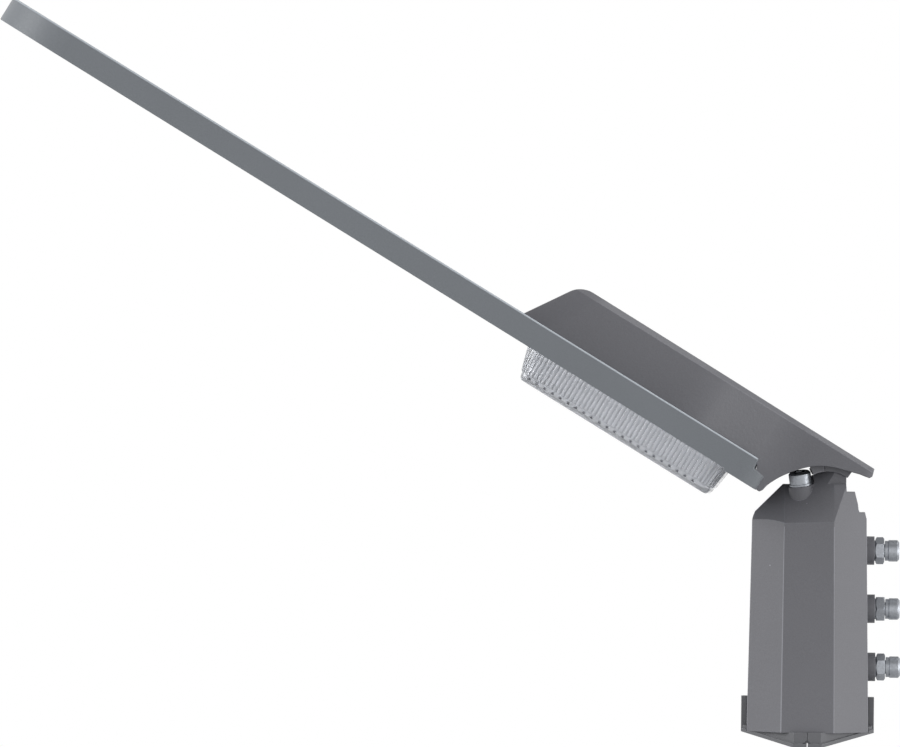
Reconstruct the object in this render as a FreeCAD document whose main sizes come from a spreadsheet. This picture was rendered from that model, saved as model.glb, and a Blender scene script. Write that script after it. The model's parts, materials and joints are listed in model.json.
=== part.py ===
"""LED street lantern on an octagonal pole spigot, as a parametric FreeCAD document."""
import FreeCAD, Part
import math
import os

import Sketcher
from FreeCAD import Placement, Rotation, Vector

doc = FreeCAD.newDocument("street_lantern")

# Driving dimensions, in millimetres and degrees.
SIZES = [
    ("socket_radius", 39.0, "bore of the spigot, for a 76 mm pole"),
    ("socket_depth", 138.0, "how far the pole goes in"),
    ("foot_half", 45.0, "half width across the flats at the foot"),
    ("foot_face", 19.6, "half width of one octagon face at the foot"),
    ("shoulder_half", 42.4, "half width across the flats at the shoulder"),
    ("shoulder_face", 18.4, "half width of one octagon face at the shoulder"),
    ("shoulder_height", 157.0, "height at which the shoulder width holds"),
    ("crown_rise", 47.0, "how far above the shoulder the octagon is drawn before the roof cuts it"),
    ("roof_edge_rise", 4.0, "left roof where it meets the wall, above the shoulder"),
    ("seat_rise", 14.7, "flat seat of the tilt screws, above the tilt axis"),
    ("eave_drop", 2.6, "roof edge on the front and back faces, below the shoulder"),
    ("neck_left", -7.0, "left side of the neck"),
    ("neck_right", 27.0, "right side of the neck"),
    ("neck_half", 30.5, "half depth of the neck"),
    ("neck_root", 13.0, "where the neck starts inside the roof, above the shoulder"),
    ("tower_rise", 9.5, "raised right wall, above the tilt axis"),
    ("knuckle_radius", 24.6, "radius of the curved top of the neck"),
    ("pivot_across", 13.8, "tilt axis, across from the pole axis"),
    ("pivot_rise", 11.8, "tilt axis, above the shoulder"),
    ("head_tilt", 31.2, "tilt of the head, in degrees"),
    ("running_gap", 0.35, "gap between the saddle and the neck"),
    ("cable_hole_radius", 8.0, "cable way through the neck"),
    ("crown_pocket_radius", 28.0, "relief above the pole socket"),
    ("crown_pocket_height", 14.0, "height of that relief"),
    ("boss_radius", 10.6, "clamp screw boss"),
    ("boss_length", 5.7, "how far a boss stands out of the wall"),
    ("edge_radius", 1.2, "rounding of the casting's upright edges"),
    ("tilt_foot_across", 17.5, "lower end of a tilt screw's hole, from the tilt axis"),
    ("tilt_foot_side", 18.3, "lower end of a tilt screw's hole, from the middle plane"),
    ("tilt_reach", 18.6, "length of a tilt screw's boss"),
    ("tilt_seat_gap", 0.6, "how far the boss ends below the flat seat"),
    ("tilt_lean", 8.5, "lean of the tilt screws towards the canopy, in degrees"),
    ("tilt_splay", 12.0, "lean of the tilt screws outwards, in degrees"),
    ("tilt_boss_radius", 9.6, "boss of a tilt screw"),
    ("tilt_head_radius", 8.25, "head of a tilt screw"),
    ("tilt_head_height", 8.4, "head of a tilt screw"),
    ("tilt_shank", 15.0, "length of a tilt screw under its head"),
    ("washer_height", 1.6, "washer under a tilt screw"),
    ("nut_height", 7.3, "lock nut with its round seat"),
    ("nut_flats", 17.4, "lock nut across the flats"),
    ("clamp_head_radius", 8.0, "head of a clamp screw"),
    ("clamp_head_height", 10.6, "head of a clamp screw"),
    ("first_screw", 48.2, "height of the lowest clamp screw"),
    ("screw_pitch", 43.2, "spacing of the clamp screws"),
    ("clamp_thread_radius", 5.0, "clamp screw shank"),
    ("collar_half", 49.2, "half width of the collar"),
    ("collar_face", 10.7, "half width of the collar's narrow front face"),
    ("collar_side_face", 16.0, "half length of the collar's side faces"),
    ("collar_drop", 10.6, "how far the collar's front hangs below its sides"),
    ("collar_lip", 2.9, "height of the collar's outer band"),
    ("collar_flare", 8.1, "rise of the sloping top of the collar"),
    ("collar_step", 1.3, "ledge above the collar's outer band"),
    ("collar_fit", 0.25, "gap between the collar and the foot"),
    ("pole_clearance", 1.0, "how much wider the collar is than the bore"),
    ("lug_height", 25.6, "side lugs of the collar"),
    ("lug_half", 10.0, "half depth of a side lug"),
    ("lug_wall", 3.6, "wall that the side lugs leave beside the foot"),
    ("canopy_tip", 704.6, "canopy tip, from the tilt axis"),
    ("canopy_end", 63.1, "canopy rear end at its top face, from the tilt axis"),
    ("canopy_half", 150.0, "half width of the canopy"),
    ("canopy_top", 1.6, "top face of the canopy, above the tilt axis"),
    ("canopy_depth", 19.0, "height of the canopy's rim"),
    ("canopy_round", 1.5, "rounding of the canopy's upper edge"),
    ("ledge_end", 50.9, "rear end of the canopy beside the arm, from the tilt axis"),
    ("ledge_start", 61.0, "where the canopy's top face steps down to the ledge"),
    ("ledge_top", 9.4, "upper face of the ledge, below the canopy's top face"),
    ("ledge_gap", 13.0, "gap between the ledge and the arm, which widens there"),
    ("skirt_start", 78.0, "front end of the deeper rear skirt, from the tilt axis"),
    ("skirt_drop", 1.5, "how far the rear skirt reaches below the rim"),
    ("canopy_skin", 3.0, "top sheet of the canopy"),
    ("rim_wall", 3.2, "wall of the canopy's rim"),
    ("tip_radius", 58.0, "plan radius of the two tip corners"),
    ("end_radius", 21.0, "plan radius of the two rear corners"),
    ("rib_depth", 9.0, "stiffening ribs under the canopy"),
    ("rib_wall", 2.6, "wall of a rib"),
    ("rib_spacing", 85.0, "pitch of the cross ribs"),
    ("bump_front", 263.6, "foot of the housing's front face, from the tilt axis"),
    ("bump_half", 88.0, "half width of the housing on the canopy"),
    ("bump_shoulder", 118.0, "where the housing starts to narrow"),
    ("neck_shoulder", 50.0, "where the housing has narrowed to the arm"),
    ("arm_half", 42.0, "half width of the arm"),
    ("arm_end", 16.9, "beak of the arm, behind the tilt axis"),
    ("arm_top", 41.1, "top face of the housing at its nose, above the tilt axis"),
    ("arm_fall", 1.0, "how much lower that face is at the beak"),
    ("front_lean", 32.3, "lean of the housing's front face, in degrees"),
    ("side_lean", 12.0, "lean of the housing's side walls, in degrees"),
    ("arm_lean", 2.0, "lean of the arm's side walls, in degrees"),
    ("edge_drop", 4.1, "height of the bevel along the top edge"),
    ("edge_inset", 4.6, "width of the bevel along the top edge"),
    ("nose_radius", 18.0, "rounding over the housing's front edge"),
    ("corner_radius", 30.0, "plan radius of the housing's front corners"),
    ("sweep_radius", 55.0, "plan radius where the housing narrows"),
    ("beak_radius", 8.0, "plan radius of the beak's corners"),
    ("housing_wall", 3.5, "wall of the housing"),
    ("toe_drop", 18.9, "lowest point of the arm's toe, below the tilt axis"),
    ("bulkhead_front", 55.0, "gear side of the bulkhead, from the tilt axis"),
    ("bulkhead_back", 46.5, "arm side of the bulkhead, from the tilt axis"),
    ("gasket_width", 2.0, "seal under the housing"),
    ("gasket_height", 1.4, "seal under the housing"),
    ("saddle_wall", 5.0, "thickness of the tilt saddle"),
    ("saddle_half", 13.4, "half depth of the tilt saddle between the tilt screws"),
    ("wing_half", 33.2, "half depth of the tilt saddle beside the neck"),
    ("wing_swing", 38.0, "where the saddle widens, in degrees from its top"),
    ("guide_wall", 2.0, "guides that hang from the saddle beside the neck"),
    ("guide_drop", 0.4, "how far the guides reach below the neck's curve"),
    ("saddle_end_swing", 60.0, "front end of the saddle, in degrees from its top"),
    ("saddle_back_swing", 4.5, "rear end of the saddle, in degrees from its top"),
    ("saddle_screw_length", 8.5, "screws that hold the saddle in the arm"),
    ("saddle_block_top", 33.0, "top of the saddle, above the tilt axis"),
    ("lens_front", 247.7, "front end of the lens at the canopy, from the tilt axis"),
    ("lens_end", 76.3, "rear end of the lens at the canopy, from the tilt axis"),
    ("lens_half", 100.0, "half width of the lens at the canopy"),
    ("lens_depth", 23.6, "how far the lens hangs below the canopy"),
    ("lens_front_draft", 7.7, "how far the front end leans in"),
    ("lens_end_draft", 3.2, "how far the rear end leans in"),
    ("lens_side_draft", 3.6, "how far the long sides lean in"),
    ("lens_wall", 3.0, "wall of the lens"),
    ("lens_corner", 12.0, "plan radius of the lens corners"),
    ("lens_flange", 9.0, "width of the flange around the lens"),
    ("lens_flange_depth", 3.0, "thickness of that flange"),
    ("flange_recess", 2.0, "how far the flange lies above the canopy's lower edge"),
    ("lens_screw_grip", 5.0, "thread of a lens screw in the canopy"),
    ("housing_screw_length", 14.0, "screws that hold the housing down"),
    ("flute_pitch", 3.4, "pitch of the flutes on the lens"),
    ("flute_height", 0.8, "how far a flute stands out"),
    ("seal_depth", 1.5, "lens gasket"),
    ("window_front", 228.0, "front of the light opening, from the tilt axis"),
    ("window_end", 120.0, "rear of the light opening, from the tilt axis"),
    ("window_half", 70.0, "half width of the light opening"),
    ("tray_margin", 4.0, "how far the gear tray laps over the opening"),
    ("tray_sheet", 2.0, "gear tray sheet"),
    ("spreader_gap", 2.0, "gap around the heat spreader in the opening"),
    ("spreader_depth", 4.0, "heat spreader"),
    ("board_margin", 4.0, "step from the spreader to the board"),
    ("board_depth", 1.6, "LED board"),
    ("chip_side", 3.6, "LED package"),
    ("chip_depth", 1.0, "LED package"),
    ("led_rows", 4, "LED packages across"),
    ("led_columns", 5, "LED packages along"),
    ("led_pitch_along", 19.0, "pitch of the packages along the board"),
    ("led_pitch_across", 30.0, "pitch of the packages across the board"),
    ("optic_sheet", 2.0, "sheet of the optic plate"),
    ("optic_radius", 8.0, "radius of one optic dome"),
    ("optic_height", 4.5, "height of one optic dome"),
    ("driver_length", 92.0, "LED driver case"),
    ("driver_width", 56.0, "LED driver case"),
    ("driver_height", 26.0, "LED driver case"),
    ("surge_length", 52.0, "surge protector"),
    ("surge_width", 34.0, "surge protector"),
    ("surge_height", 24.0, "surge protector"),
    ("terminal_length", 36.0, "terminal block"),
    ("terminal_width", 22.0, "terminal block"),
    ("terminal_height", 17.0, "terminal block"),
    ("terminal_front", 64.0, "terminal block, behind the front of the gear"),
    ("terminal_side", 48.0, "terminal block, from the middle plane"),
    ("gear_margin", 6.0, "front of the gear, behind the light opening's front"),
    ("driver_side", 8.0, "LED driver, from the middle plane"),
    ("surge_side", 52.0, "surge protector, from the middle plane"),
    ("gear_foot", 8.0, "length of a gear case's foot"),
    ("gear_foot_height", 3.0, "height of a gear case's foot"),
]


def driving_sheet():
    """One row for each size: its name, its value under an alias, and what it is."""
    sheet = doc.addObject("Spreadsheet::Sheet", "Sizes")
    for row, (alias, value, meaning) in enumerate(SIZES, start=1):
        sheet.set("A%d" % row, alias)
        sheet.set("B%d" % row, str(value))
        sheet.setAlias("B%d" % row, alias)
        sheet.set("C%d" % row, meaning)
    doc.recompute()
    return sheet


sizes = driving_sheet()
ALIASES = {alias: index for index, (alias, _, _) in enumerate(SIZES)}


def size(alias):
    """The value that the sheet holds under an alias."""
    return float(sizes.get(alias))


def pivot_height():
    """Level of the tilt axis."""
    return size("shoulder_height") + size("pivot_rise")


PIVOT = "(shoulder_height+pivot_rise)"
SEAT = "(shoulder_height+pivot_rise+seat_rise)"
ROOF_EDGE = "(shoulder_height+roof_edge_rise)"


def bound(formula):
    """A formula over aliases, written for the expression engine."""
    words = []
    word = ""
    for mark in formula + " ":
        if mark.isalnum() or mark == "_":
            word += mark
            continue
        words.append("Sizes." + word if word in ALIASES else word)
        words.append(mark)
        word = ""
    return "".join(words).strip()


def bind(thing, **formulas):
    """Tie properties of an object to formulas; a double underscore stands for a dot."""
    for name, formula in formulas.items():
        thing.setExpression(name.replace("__", "."), bound(formula))
    return thing


PLANES = {
    "XY": Rotation(),
    "XZ": Rotation(Vector(1, 0, 0), 90),
    "YZ": Rotation(Vector(1, 1, 1), 120),
}


def outline(name, plane, corners, offset=None):
    """A closed sketch whose corners are pairs of formulas, on a plane moved along its normal."""
    sketch = doc.addObject("Sketcher::SketchObject", name)
    sketch.Placement = Placement(Vector(), PLANES[plane])
    if offset is not None:
        along = {"XY": "Placement.Base.z", "XZ": "Placement.Base.y", "YZ": "Placement.Base.x"}[plane]
        sketch.setExpression(along, bound(offset))
    polygon(sketch, corners)
    return sketch


def polygon(sketch, corners):
    """Straight edges from corner to corner, each corner held by two bound distances."""
    count = len(corners)
    for index in range(count):
        start = Vector(index + 1.0, index * index + 1.0, 0)
        finish = Vector(index + 2.0, index * index + 2.0, 0)
        sketch.addGeometry(Part.LineSegment(start, finish), False)
    for index in range(count):
        sketch.addConstraint(Sketcher.Constraint("Coincident", index, 2, (index + 1) % count, 1))
    for index, (across, up) in enumerate(corners):
        for kind, formula in (("DistanceX", across), ("DistanceY", up)):
            number = sketch.addConstraint(Sketcher.Constraint(kind, -1, 1, index, 1, 1.0 + index))
            sketch.setExpression("Constraints[%d]" % number, bound(formula))


def extrusion(name, sketch, direction, length, symmetric=False):
    """A sketch carried along a direction by a bound length."""
    thing = doc.addObject("Part::Extrusion", name)
    thing.Base = sketch
    thing.DirMode = "Custom"
    thing.Dir = Vector(*direction)
    thing.Solid = True
    thing.Symmetric = symmetric
    return bind(thing, LengthFwd=length)


def loft(name, sections):
    """Straight walls from one section to the next."""
    thing = doc.addObject("Part::Loft", name)
    thing.Sections = sections
    thing.Solid = True
    thing.Ruled = True
    return thing


def block(name, low, high):
    """A box between two corners, each given as three formulas."""
    thing = doc.addObject("Part::Box", name)
    bind(thing, Length="(%s)-(%s)" % (high[0], low[0]),
         Width="(%s)-(%s)" % (high[1], low[1]),
         Height="(%s)-(%s)" % (high[2], low[2]))
    return bind(thing, Placement__Base__x=low[0], Placement__Base__y=low[1],
                Placement__Base__z=low[2])


def rod(name, radius, length, foot, turn=None):
    """A cylinder that starts at a foot point and runs along +Z, or along +Z turned."""
    thing = doc.addObject("Part::Cylinder", name)
    if turn is not None:
        thing.Placement = Placement(Vector(), turn)
    bind(thing, Radius=radius, Height=length)
    return bind(thing, Placement__Base__x=foot[0], Placement__Base__y=foot[1],
                Placement__Base__z=foot[2])


def join(name, pieces):
    """All pieces made one solid."""
    thing = doc.addObject("Part::MultiFuse", name)
    thing.Shapes = pieces
    thing.Refine = True
    return thing


def overlap(name, pieces):
    """What all pieces have in common."""
    thing = doc.addObject("Part::MultiCommon", name)
    thing.Shapes = pieces
    return thing


def cut(name, base, tools):
    """A base with tools taken out of it."""
    thing = doc.addObject("Part::Cut", name)
    thing.Base = base
    thing.Tool = tools[0] if len(tools) == 1 else join(name + "_tools", tools)
    return thing


def edges_where(shape, test):
    """Numbers of the edges whose middle point and direction pass a test."""
    found = []
    for number, edge in enumerate(shape.Edges, start=1):
        middle = edge.valueAt((edge.FirstParameter + edge.LastParameter) / 2)
        heading = edge.Vertexes[-1].Point - edge.Vertexes[0].Point
        if heading.Length > 0:
            heading.normalize()
        if test(middle, heading, edge):
            found.append(number)
    return found


def rounded(name, base, radius, test):
    """A base with chosen edges rounded."""
    doc.recompute()
    thing = doc.addObject("Part::Fillet", name)
    thing.Base = base
    thing.Edges = [(number, radius, radius) for number in edges_where(base.Shape, test)]
    return thing


def upright(heading):
    """True for an edge that runs along Z."""
    return abs(heading.z) > 0.9


NODES = {}


def node(label, thing, on_head=False):
    """Name a finished sub-part; those of the head are turned onto the tilt axis."""
    thing.Label = label
    if on_head:
        thing.Placement = Placement(Vector(), Rotation(Vector(0, 1, 0), 1))
        bind(thing, Placement__Rotation__Angle="head_tilt",
             Placement__Base__x="pivot_across", Placement__Base__z=PIVOT)
    NODES[label] = thing
    return thing


def head_place():
    """The head's frame: origin on the tilt axis, -X towards the canopy's tip."""
    return Placement(Vector(size("pivot_across"), 0, pivot_height()),
                     Rotation(Vector(0, 1, 0), size("head_tilt")))


def solid_feature(label, shape, on_head=False):
    """A sub-part whose shape is worked out below from the sheet's values."""
    thing = doc.addObject("Part::Feature", label)
    thing.Shape = shape
    if on_head:
        thing.Placement = head_place()
    thing.Label = label
    NODES[label] = thing
    return thing


# Spigot: an octagonal tapered casting with a leaning roof and a curved neck on top.
def octagon(half, face):
    """Corners of an octagon from its half width and the half width of a face."""
    return [(half, "-(%s)" % face), (half, face), (face, half), ("-(%s)" % face, half),
            ("-(%s)" % half, face), ("-(%s)" % half, "-(%s)" % face),
            ("-(%s)" % face, "-(%s)" % half), (face, "-(%s)" % half)]


def spigot_wall():
    """The tapered octagon, from the foot to above the roof."""
    taper = "(foot_half-shoulder_half)/shoulder_height"
    face_taper = "(foot_face-shoulder_face)/shoulder_height"
    foot = outline("spigot_foot", "XY", octagon("foot_half", "foot_face"))
    crown = "(shoulder_height+crown_rise)"
    top = outline("spigot_top", "XY",
                  octagon("foot_half-%s*%s" % (taper, crown),
                          "foot_face-%s*%s" % (face_taper, crown)), crown)
    wall = loft("spigot_wall", [foot, top])
    return rounded("spigot_edges", wall, size("edge_radius"),
                   lambda middle, heading, edge: upright(heading))


def spigot_roof_profile():
    """What the roof leaves, seen from the front: slope on the left, steps on the right."""
    return extrusion("roof_profile", outline("roof_line", "XZ", [
        ("-foot_half-1", "-1"),
        ("foot_half+1", "-1"),
        ("foot_half+1", "shoulder_height"),
        ("shoulder_half-0.2", "shoulder_height+1.6"),
        ("shoulder_half-1.3", "shoulder_height+6.1"),
        ("shoulder_half-5.4", "shoulder_height+6.1"),
        ("shoulder_half-6.1", "shoulder_height+8"),
        ("shoulder_half-6.6", "shoulder_height+12"),
        ("shoulder_half-9", "%s+tower_rise" % PIVOT),
        ("neck_right+0.4", "%s+tower_rise" % PIVOT),
        ("neck_right", SEAT),
        ("-shoulder_half+(%s-%s)" % (SEAT, ROOF_EDGE), SEAT),
        ("-shoulder_half+2", "%s+2" % ROOF_EDGE),
        ("-shoulder_half+0.5", "%s-1.9" % ROOF_EDGE),
        ("-foot_half-1", "%s-22" % ROOF_EDGE)]),
        (0, 1, 0), "3*foot_half", symmetric=True)


def cheek(side):
    """What is cut from the front or back of the roof: shallow at the left, steep at the right."""
    far = "%s*(foot_half+20)" % side
    eave = "%s*shoulder_half" % side
    top = "(shoulder_height+crown_rise+10)"
    front_eave = "(shoulder_height-eave_drop)"

    def section(name, across, eave_height, slope):
        """An outline under which the roof stays; slope is the rise for each unit of depth."""
        inner = "%s-%s*(%s-(%s))/%s" % (eave, side, top, eave_height, slope)
        return outline(name, "YZ", [(far, eave_height), (eave, eave_height), (inner, top),
                                    (far, top)], across)

    tag = "front" if side == "-1" else "back"
    return loft("cheek_" + tag, [
        section("cheek_%s_left" % tag, "-foot_half-2", front_eave + "-16.4", "0.635"),
        section("cheek_%s_corner" % tag, "-shoulder_face", front_eave, "1.0"),
        section("cheek_%s_right" % tag, "shoulder_face", front_eave + "+1", "3.1"),
        section("cheek_%s_far" % tag, "foot_half+2", front_eave + "+1", "2.3")])


def spigot_neck():
    """A block under the head whose top is a cylinder about the tilt axis."""
    stem = block("neck_stem", ("neck_left", "-neck_half", "shoulder_height+neck_root"),
                 ("neck_right", "neck_half", "%s+knuckle_radius+1" % PIVOT))
    drum = rod("neck_drum", "knuckle_radius", "2*neck_half+2",
               ("pivot_across", "neck_half+1", PIVOT), Rotation(Vector(1, 0, 0), 90))
    return overlap("neck", [stem, drum])


def spigot_casting():
    """Wall, roof, neck and screw bosses, with the pole socket and the cable way cut out."""
    roofed = overlap("spigot_roofed", [spigot_wall(), spigot_roof_profile()])
    topped = join("spigot_topped", [roofed, spigot_neck()])
    cheeked = cut("spigot_cheeked", topped, [cheek("-1"), cheek("1")])
    along_x = Rotation(Vector(0, 1, 0), 90)
    solids = [cheeked]
    holes = [
        rod("pole_socket", "socket_radius", "socket_depth+1", ("0", "0", "-1")),
        rod("crown_pocket", "crown_pocket_radius", "crown_pocket_height+1",
            ("0", "0", "socket_depth-1")),
        rod("cable_way", "cable_hole_radius", "shoulder_height+crown_rise-socket_depth",
            ("pivot_across", "0", "socket_depth")),
    ]
    for number in range(3):
        level = "first_screw+%d*screw_pitch" % number
        half = "foot_half-(foot_half-shoulder_half)/shoulder_height*(%s)" % level
        solids.append(rod("boss_%d" % number, "boss_radius", "%s+boss_length-socket_radius-1.5" % half,
                          ("socket_radius+1.5", "0", level), along_x))
        holes.append(rod("clamp_hole_%d" % number, "clamp_thread_radius", "1.5*foot_half",
                         ("0", "0", level), along_x))
    for side, tag in ((-1, "front"), (1, "back")):
        start, turn = tilt_foot(side), tilt_turn(side)
        foot = [str(value) for value in start]
        seat = [str(value) for value in start + turn.multVec(Vector(0, 0, size("tilt_reach")))]
        solids.append(rod("tilt_boss_" + tag, "tilt_boss_radius", "tilt_reach", foot, turn))
        holes.append(rod("tilt_hole_" + tag, "clamp_thread_radius", "tilt_reach+4", foot, turn))
        holes.append(rod("tilt_seat_" + tag, "tilt_boss_radius+0.1", "tilt_reach+2", seat, turn))
    return node("spigot_casting", cut("spigot", join("spigot_solid", solids), holes))


# Tilt screws: one each side of the neck, leaning away from the arm's walls.
def tilt_foot(side):
    """Lower end of a tilt screw's hole."""
    rise = size("tilt_reach") * math.cos(math.radians(size("tilt_lean"))) * math.cos(
        math.radians(size("tilt_splay")))
    return Vector(size("pivot_across") - size("tilt_foot_across"), side * size("tilt_foot_side"),
                  pivot_height() + size("seat_rise") - size("tilt_seat_gap") - rise)


def tilt_turn(side):
    """Turns +Z onto a tilt screw's axis: back towards the canopy and outwards."""
    return Rotation(Vector(0, 1, 0), -size("tilt_lean")).multiply(
        Rotation(Vector(1, 0, 0), -side * size("tilt_splay")))


def collar_ring(inset):
    """Corners of the collar's plan, moved inwards."""
    half, face = "(collar_half-%s)" % inset, "(collar_face-%s*0.4)" % inset
    side = "(collar_side_face-%s*0.4)" % inset
    return [(half, "-" + side), (half, side), (face, half), ("-" + face, half), ("-" + half, side),
            ("-" + half, "-" + side), ("-" + face, "-" + half), (face, "-" + half)]


def base_collar():
    """A moulded collar round the foot, deeper at the front and back than at the sides."""
    band_ring = extrusion("collar_band_ring", outline("collar_plan", "XY", collar_ring("0"),
                                                      "-collar_drop-1"),
                          (0, 0, 1), "collar_drop+lug_height+1")
    body_ring = extrusion("collar_body_ring", outline("collar_body_plan", "XY",
                                                      collar_ring("collar_step"), "-collar_drop-1"),
                          (0, 0, 1), "collar_drop+lug_height+1")
    band_side = outline("collar_band_side", "XZ", [
        ("-collar_half-1", "0"), ("-collar_face", "-collar_drop"),
        ("collar_face", "-collar_drop"), ("collar_half+1", "0"),
        ("collar_half+1", "collar_lip"), ("collar_face", "collar_lip-collar_drop"),
        ("-collar_face", "collar_lip-collar_drop"), ("-collar_half-1", "collar_lip")])
    band = overlap("collar_band", [band_ring, extrusion(
        "collar_band_cut", band_side, (0, 1, 0), "3*collar_half", symmetric=True)])
    body_side = outline("collar_body_side", "XZ", [
        ("-collar_half-1", "collar_lip/2"), ("-collar_face", "collar_lip/2-collar_drop"),
        ("collar_face", "collar_lip/2-collar_drop"), ("collar_half+1", "collar_lip/2"),
        ("collar_half+1", "collar_lip+2"), ("collar_face", "collar_lip+collar_flare-collar_drop"),
        ("-collar_face", "collar_lip+collar_flare-collar_drop"), ("-collar_half-1", "collar_lip+2")])
    body = overlap("collar_body", [body_ring, extrusion(
        "collar_body_cut", body_side, (0, 1, 0), "3*collar_half", symmetric=True)])
    lugs = overlap("collar_lugs", [band_ring, block(
        "collar_lug_block", ("-collar_half-1", "-lug_half", "0"),
        ("collar_half+1", "lug_half", "lug_height"))])
    above = "(lug_height+1)"
    taper = "(foot_half-shoulder_half)/shoulder_height"
    face_taper = "(foot_face-shoulder_face)/shoulder_height"
    foot_opening = loft("foot_opening", [
        outline("foot_opening_low", "XY", octagon("foot_half+collar_fit", "foot_face+collar_fit")),
        outline("foot_opening_top", "XY",
                octagon("foot_half+collar_fit-%s*%s" % (taper, above),
                        "foot_face+collar_fit-%s*%s" % (face_taper, above)), above)])
    pole_opening = rod("pole_opening", "socket_radius+pole_clearance", "collar_drop+2",
                       ("0", "0", "-collar_drop-1"))
    split = block("collar_split", ("-0.3", "-collar_half-1", "-collar_drop-1"),
                  ("0.3", "-socket_radius", "collar_flare"))
    notch = extrusion("collar_notch", outline("notch_line", "XZ", [
        ("-3", "-collar_drop+collar_lip-0.2"), ("3", "-collar_drop+collar_lip-0.2"),
        ("0", "-collar_drop+collar_lip+2.8")], "-collar_half+2.2"), (0, -1, 0), "4")
    shaped = join("collar_shaped", [band, body, lugs])
    return node("base_collar", cut("collar", shaped, [foot_opening, pole_opening, split, notch]))


# Fasteners, drawn upright with the underside of the head at the origin.
def screw_body(name, head_radius, head_height, shank_radius, shank_length, socket_flats,
               waist=0.0, waist_height=0.0):
    """A socket head screw turned in one profile, with a hexagon socket in the head."""
    body = doc.addObject("PartDesign::Body", name)
    profile = body.newObject("Sketcher::SketchObject", name + "_profile")
    plane = next(f for f in body.Origin.OriginFeatures if f.Role == "XZ_Plane")
    profile.AttachmentSupport = [(plane, "")]
    profile.MapMode = "FlatFace"
    bevel = head_height * 0.14
    corners = [("0", -shank_length), (shank_radius - 0.8, -shank_length),
               (shank_radius, -shank_length + 0.8), (shank_radius, 0)]
    if waist:
        corners += [(head_radius - waist, 0), (head_radius - waist, waist_height - waist),
                    (head_radius, waist_height)]
    else:
        corners += [(head_radius, 0)]
    corners += [(head_radius, head_height - bevel), (head_radius - bevel, head_height),
                ("0", head_height)]
    polygon(profile, [(str(a), str(b)) for a, b in corners])
    doc.recompute()
    turned = body.newObject("PartDesign::Revolution", name + "_turned")
    turned.Profile = profile
    turned.ReferenceAxis = (profile, ["V_Axis"])
    turned.Angle = 360
    doc.recompute()
    hexagon = body.newObject("Sketcher::SketchObject", name + "_hexagon")
    hexagon.AttachmentSupport = [(next(f for f in body.Origin.OriginFeatures
                                       if f.Role == "XY_Plane"), "")]
    hexagon.MapMode = "FlatFace"
    hexagon.AttachmentOffset = Placement(Vector(0, 0, head_height), Rotation())
    across = socket_flats / math.sqrt(3)
    polygon(hexagon, [(str(across * math.cos(math.radians(60 * k))),
                       str(across * math.sin(math.radians(60 * k)))) for k in range(6)])
    doc.recompute()
    before = turned.Shape.Volume
    socket = body.newObject("PartDesign::Pocket", name + "_socket")
    socket.Profile = hexagon
    socket.Length = head_height * 0.55
    doc.recompute()
    if body.Shape.Volume >= before:
        socket.Reversed = True
        doc.recompute()
    return body


def nut_body(name, flats, height, bore_radius, seat_height):
    """A thin hexagon nut, bevelled both ends, with a round seat under it."""
    corner = flats / math.sqrt(3)
    hexagon = Part.Wire(Part.makePolygon(
        [Vector(corner * math.cos(math.radians(60 * k + 30)),
                corner * math.sin(math.radians(60 * k + 30)), seat_height) for k in range(7)]))
    prism = Part.Face(hexagon).extrude(Vector(0, 0, height - seat_height))
    slope = (corner - flats / 2) * 0.62
    turned = Part.Face(Part.makePolygon([
        Vector(0, 0, seat_height), Vector(flats / 2, 0, seat_height),
        Vector(corner + 0.4, 0, seat_height + slope), Vector(corner + 0.4, 0, height - slope),
        Vector(flats / 2, 0, height), Vector(0, 0, height), Vector(0, 0, seat_height)]))
    envelope = turned.revolve(Vector(), Vector(0, 0, 1), 360)
    seat = Part.makeCylinder(flats / 2 - 1.0, seat_height)
    bore = Part.makeCylinder(bore_radius, height * 2)
    return prism.common(envelope).fuse(seat).cut(bore).removeSplitter()


def copies(shape, places):
    """The same fastener at several places, as one group of separate solids."""
    pieces = []
    for place in places:
        piece = shape.copy()
        piece.Placement = place.multiply(piece.Placement)
        pieces.append(piece)
    return Part.makeCompound(pieces)


def wall_half(level):
    """Half width of the spigot at a height."""
    taper = (size("foot_half") - size("shoulder_half")) / size("shoulder_height")
    return size("foot_half") - taper * level


def clamp_fasteners():
    """Three clamp screws with lock nuts, driven in until their tips are flush with the bore."""
    nut_height = size("nut_height")
    gap = 0.5
    along_x = Rotation(Vector(0, 1, 0), 90)
    for number in range(3):
        level = size("first_screw") + number * size("screw_pitch")
        face = wall_half(level) + size("boss_length")
        under_head = face + nut_height + gap
        shank = under_head - size("socket_radius") - 0.4
        screw = screw_body("clamp_screw_drawing_%d" % number, size("clamp_head_radius"),
                           size("clamp_head_height"), size("clamp_thread_radius"), shank, 8.0,
                           0.55, 2.9)
        solid_feature("clamp_screw_%d" % (number + 1),
                      copies(screw.Shape, [Placement(Vector(under_head, 0, level), along_x)]))
        quarter = Rotation(Vector(1, 0, 0), 30 if number == 1 else 0)
        solid_feature("lock_nut_%d" % (number + 1), copies(
            nut_body("nut", size("nut_flats"), nut_height, size("clamp_thread_radius"), 0.8),
            [Placement(Vector(face, 0, level), quarter.multiply(along_x))]))


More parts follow.
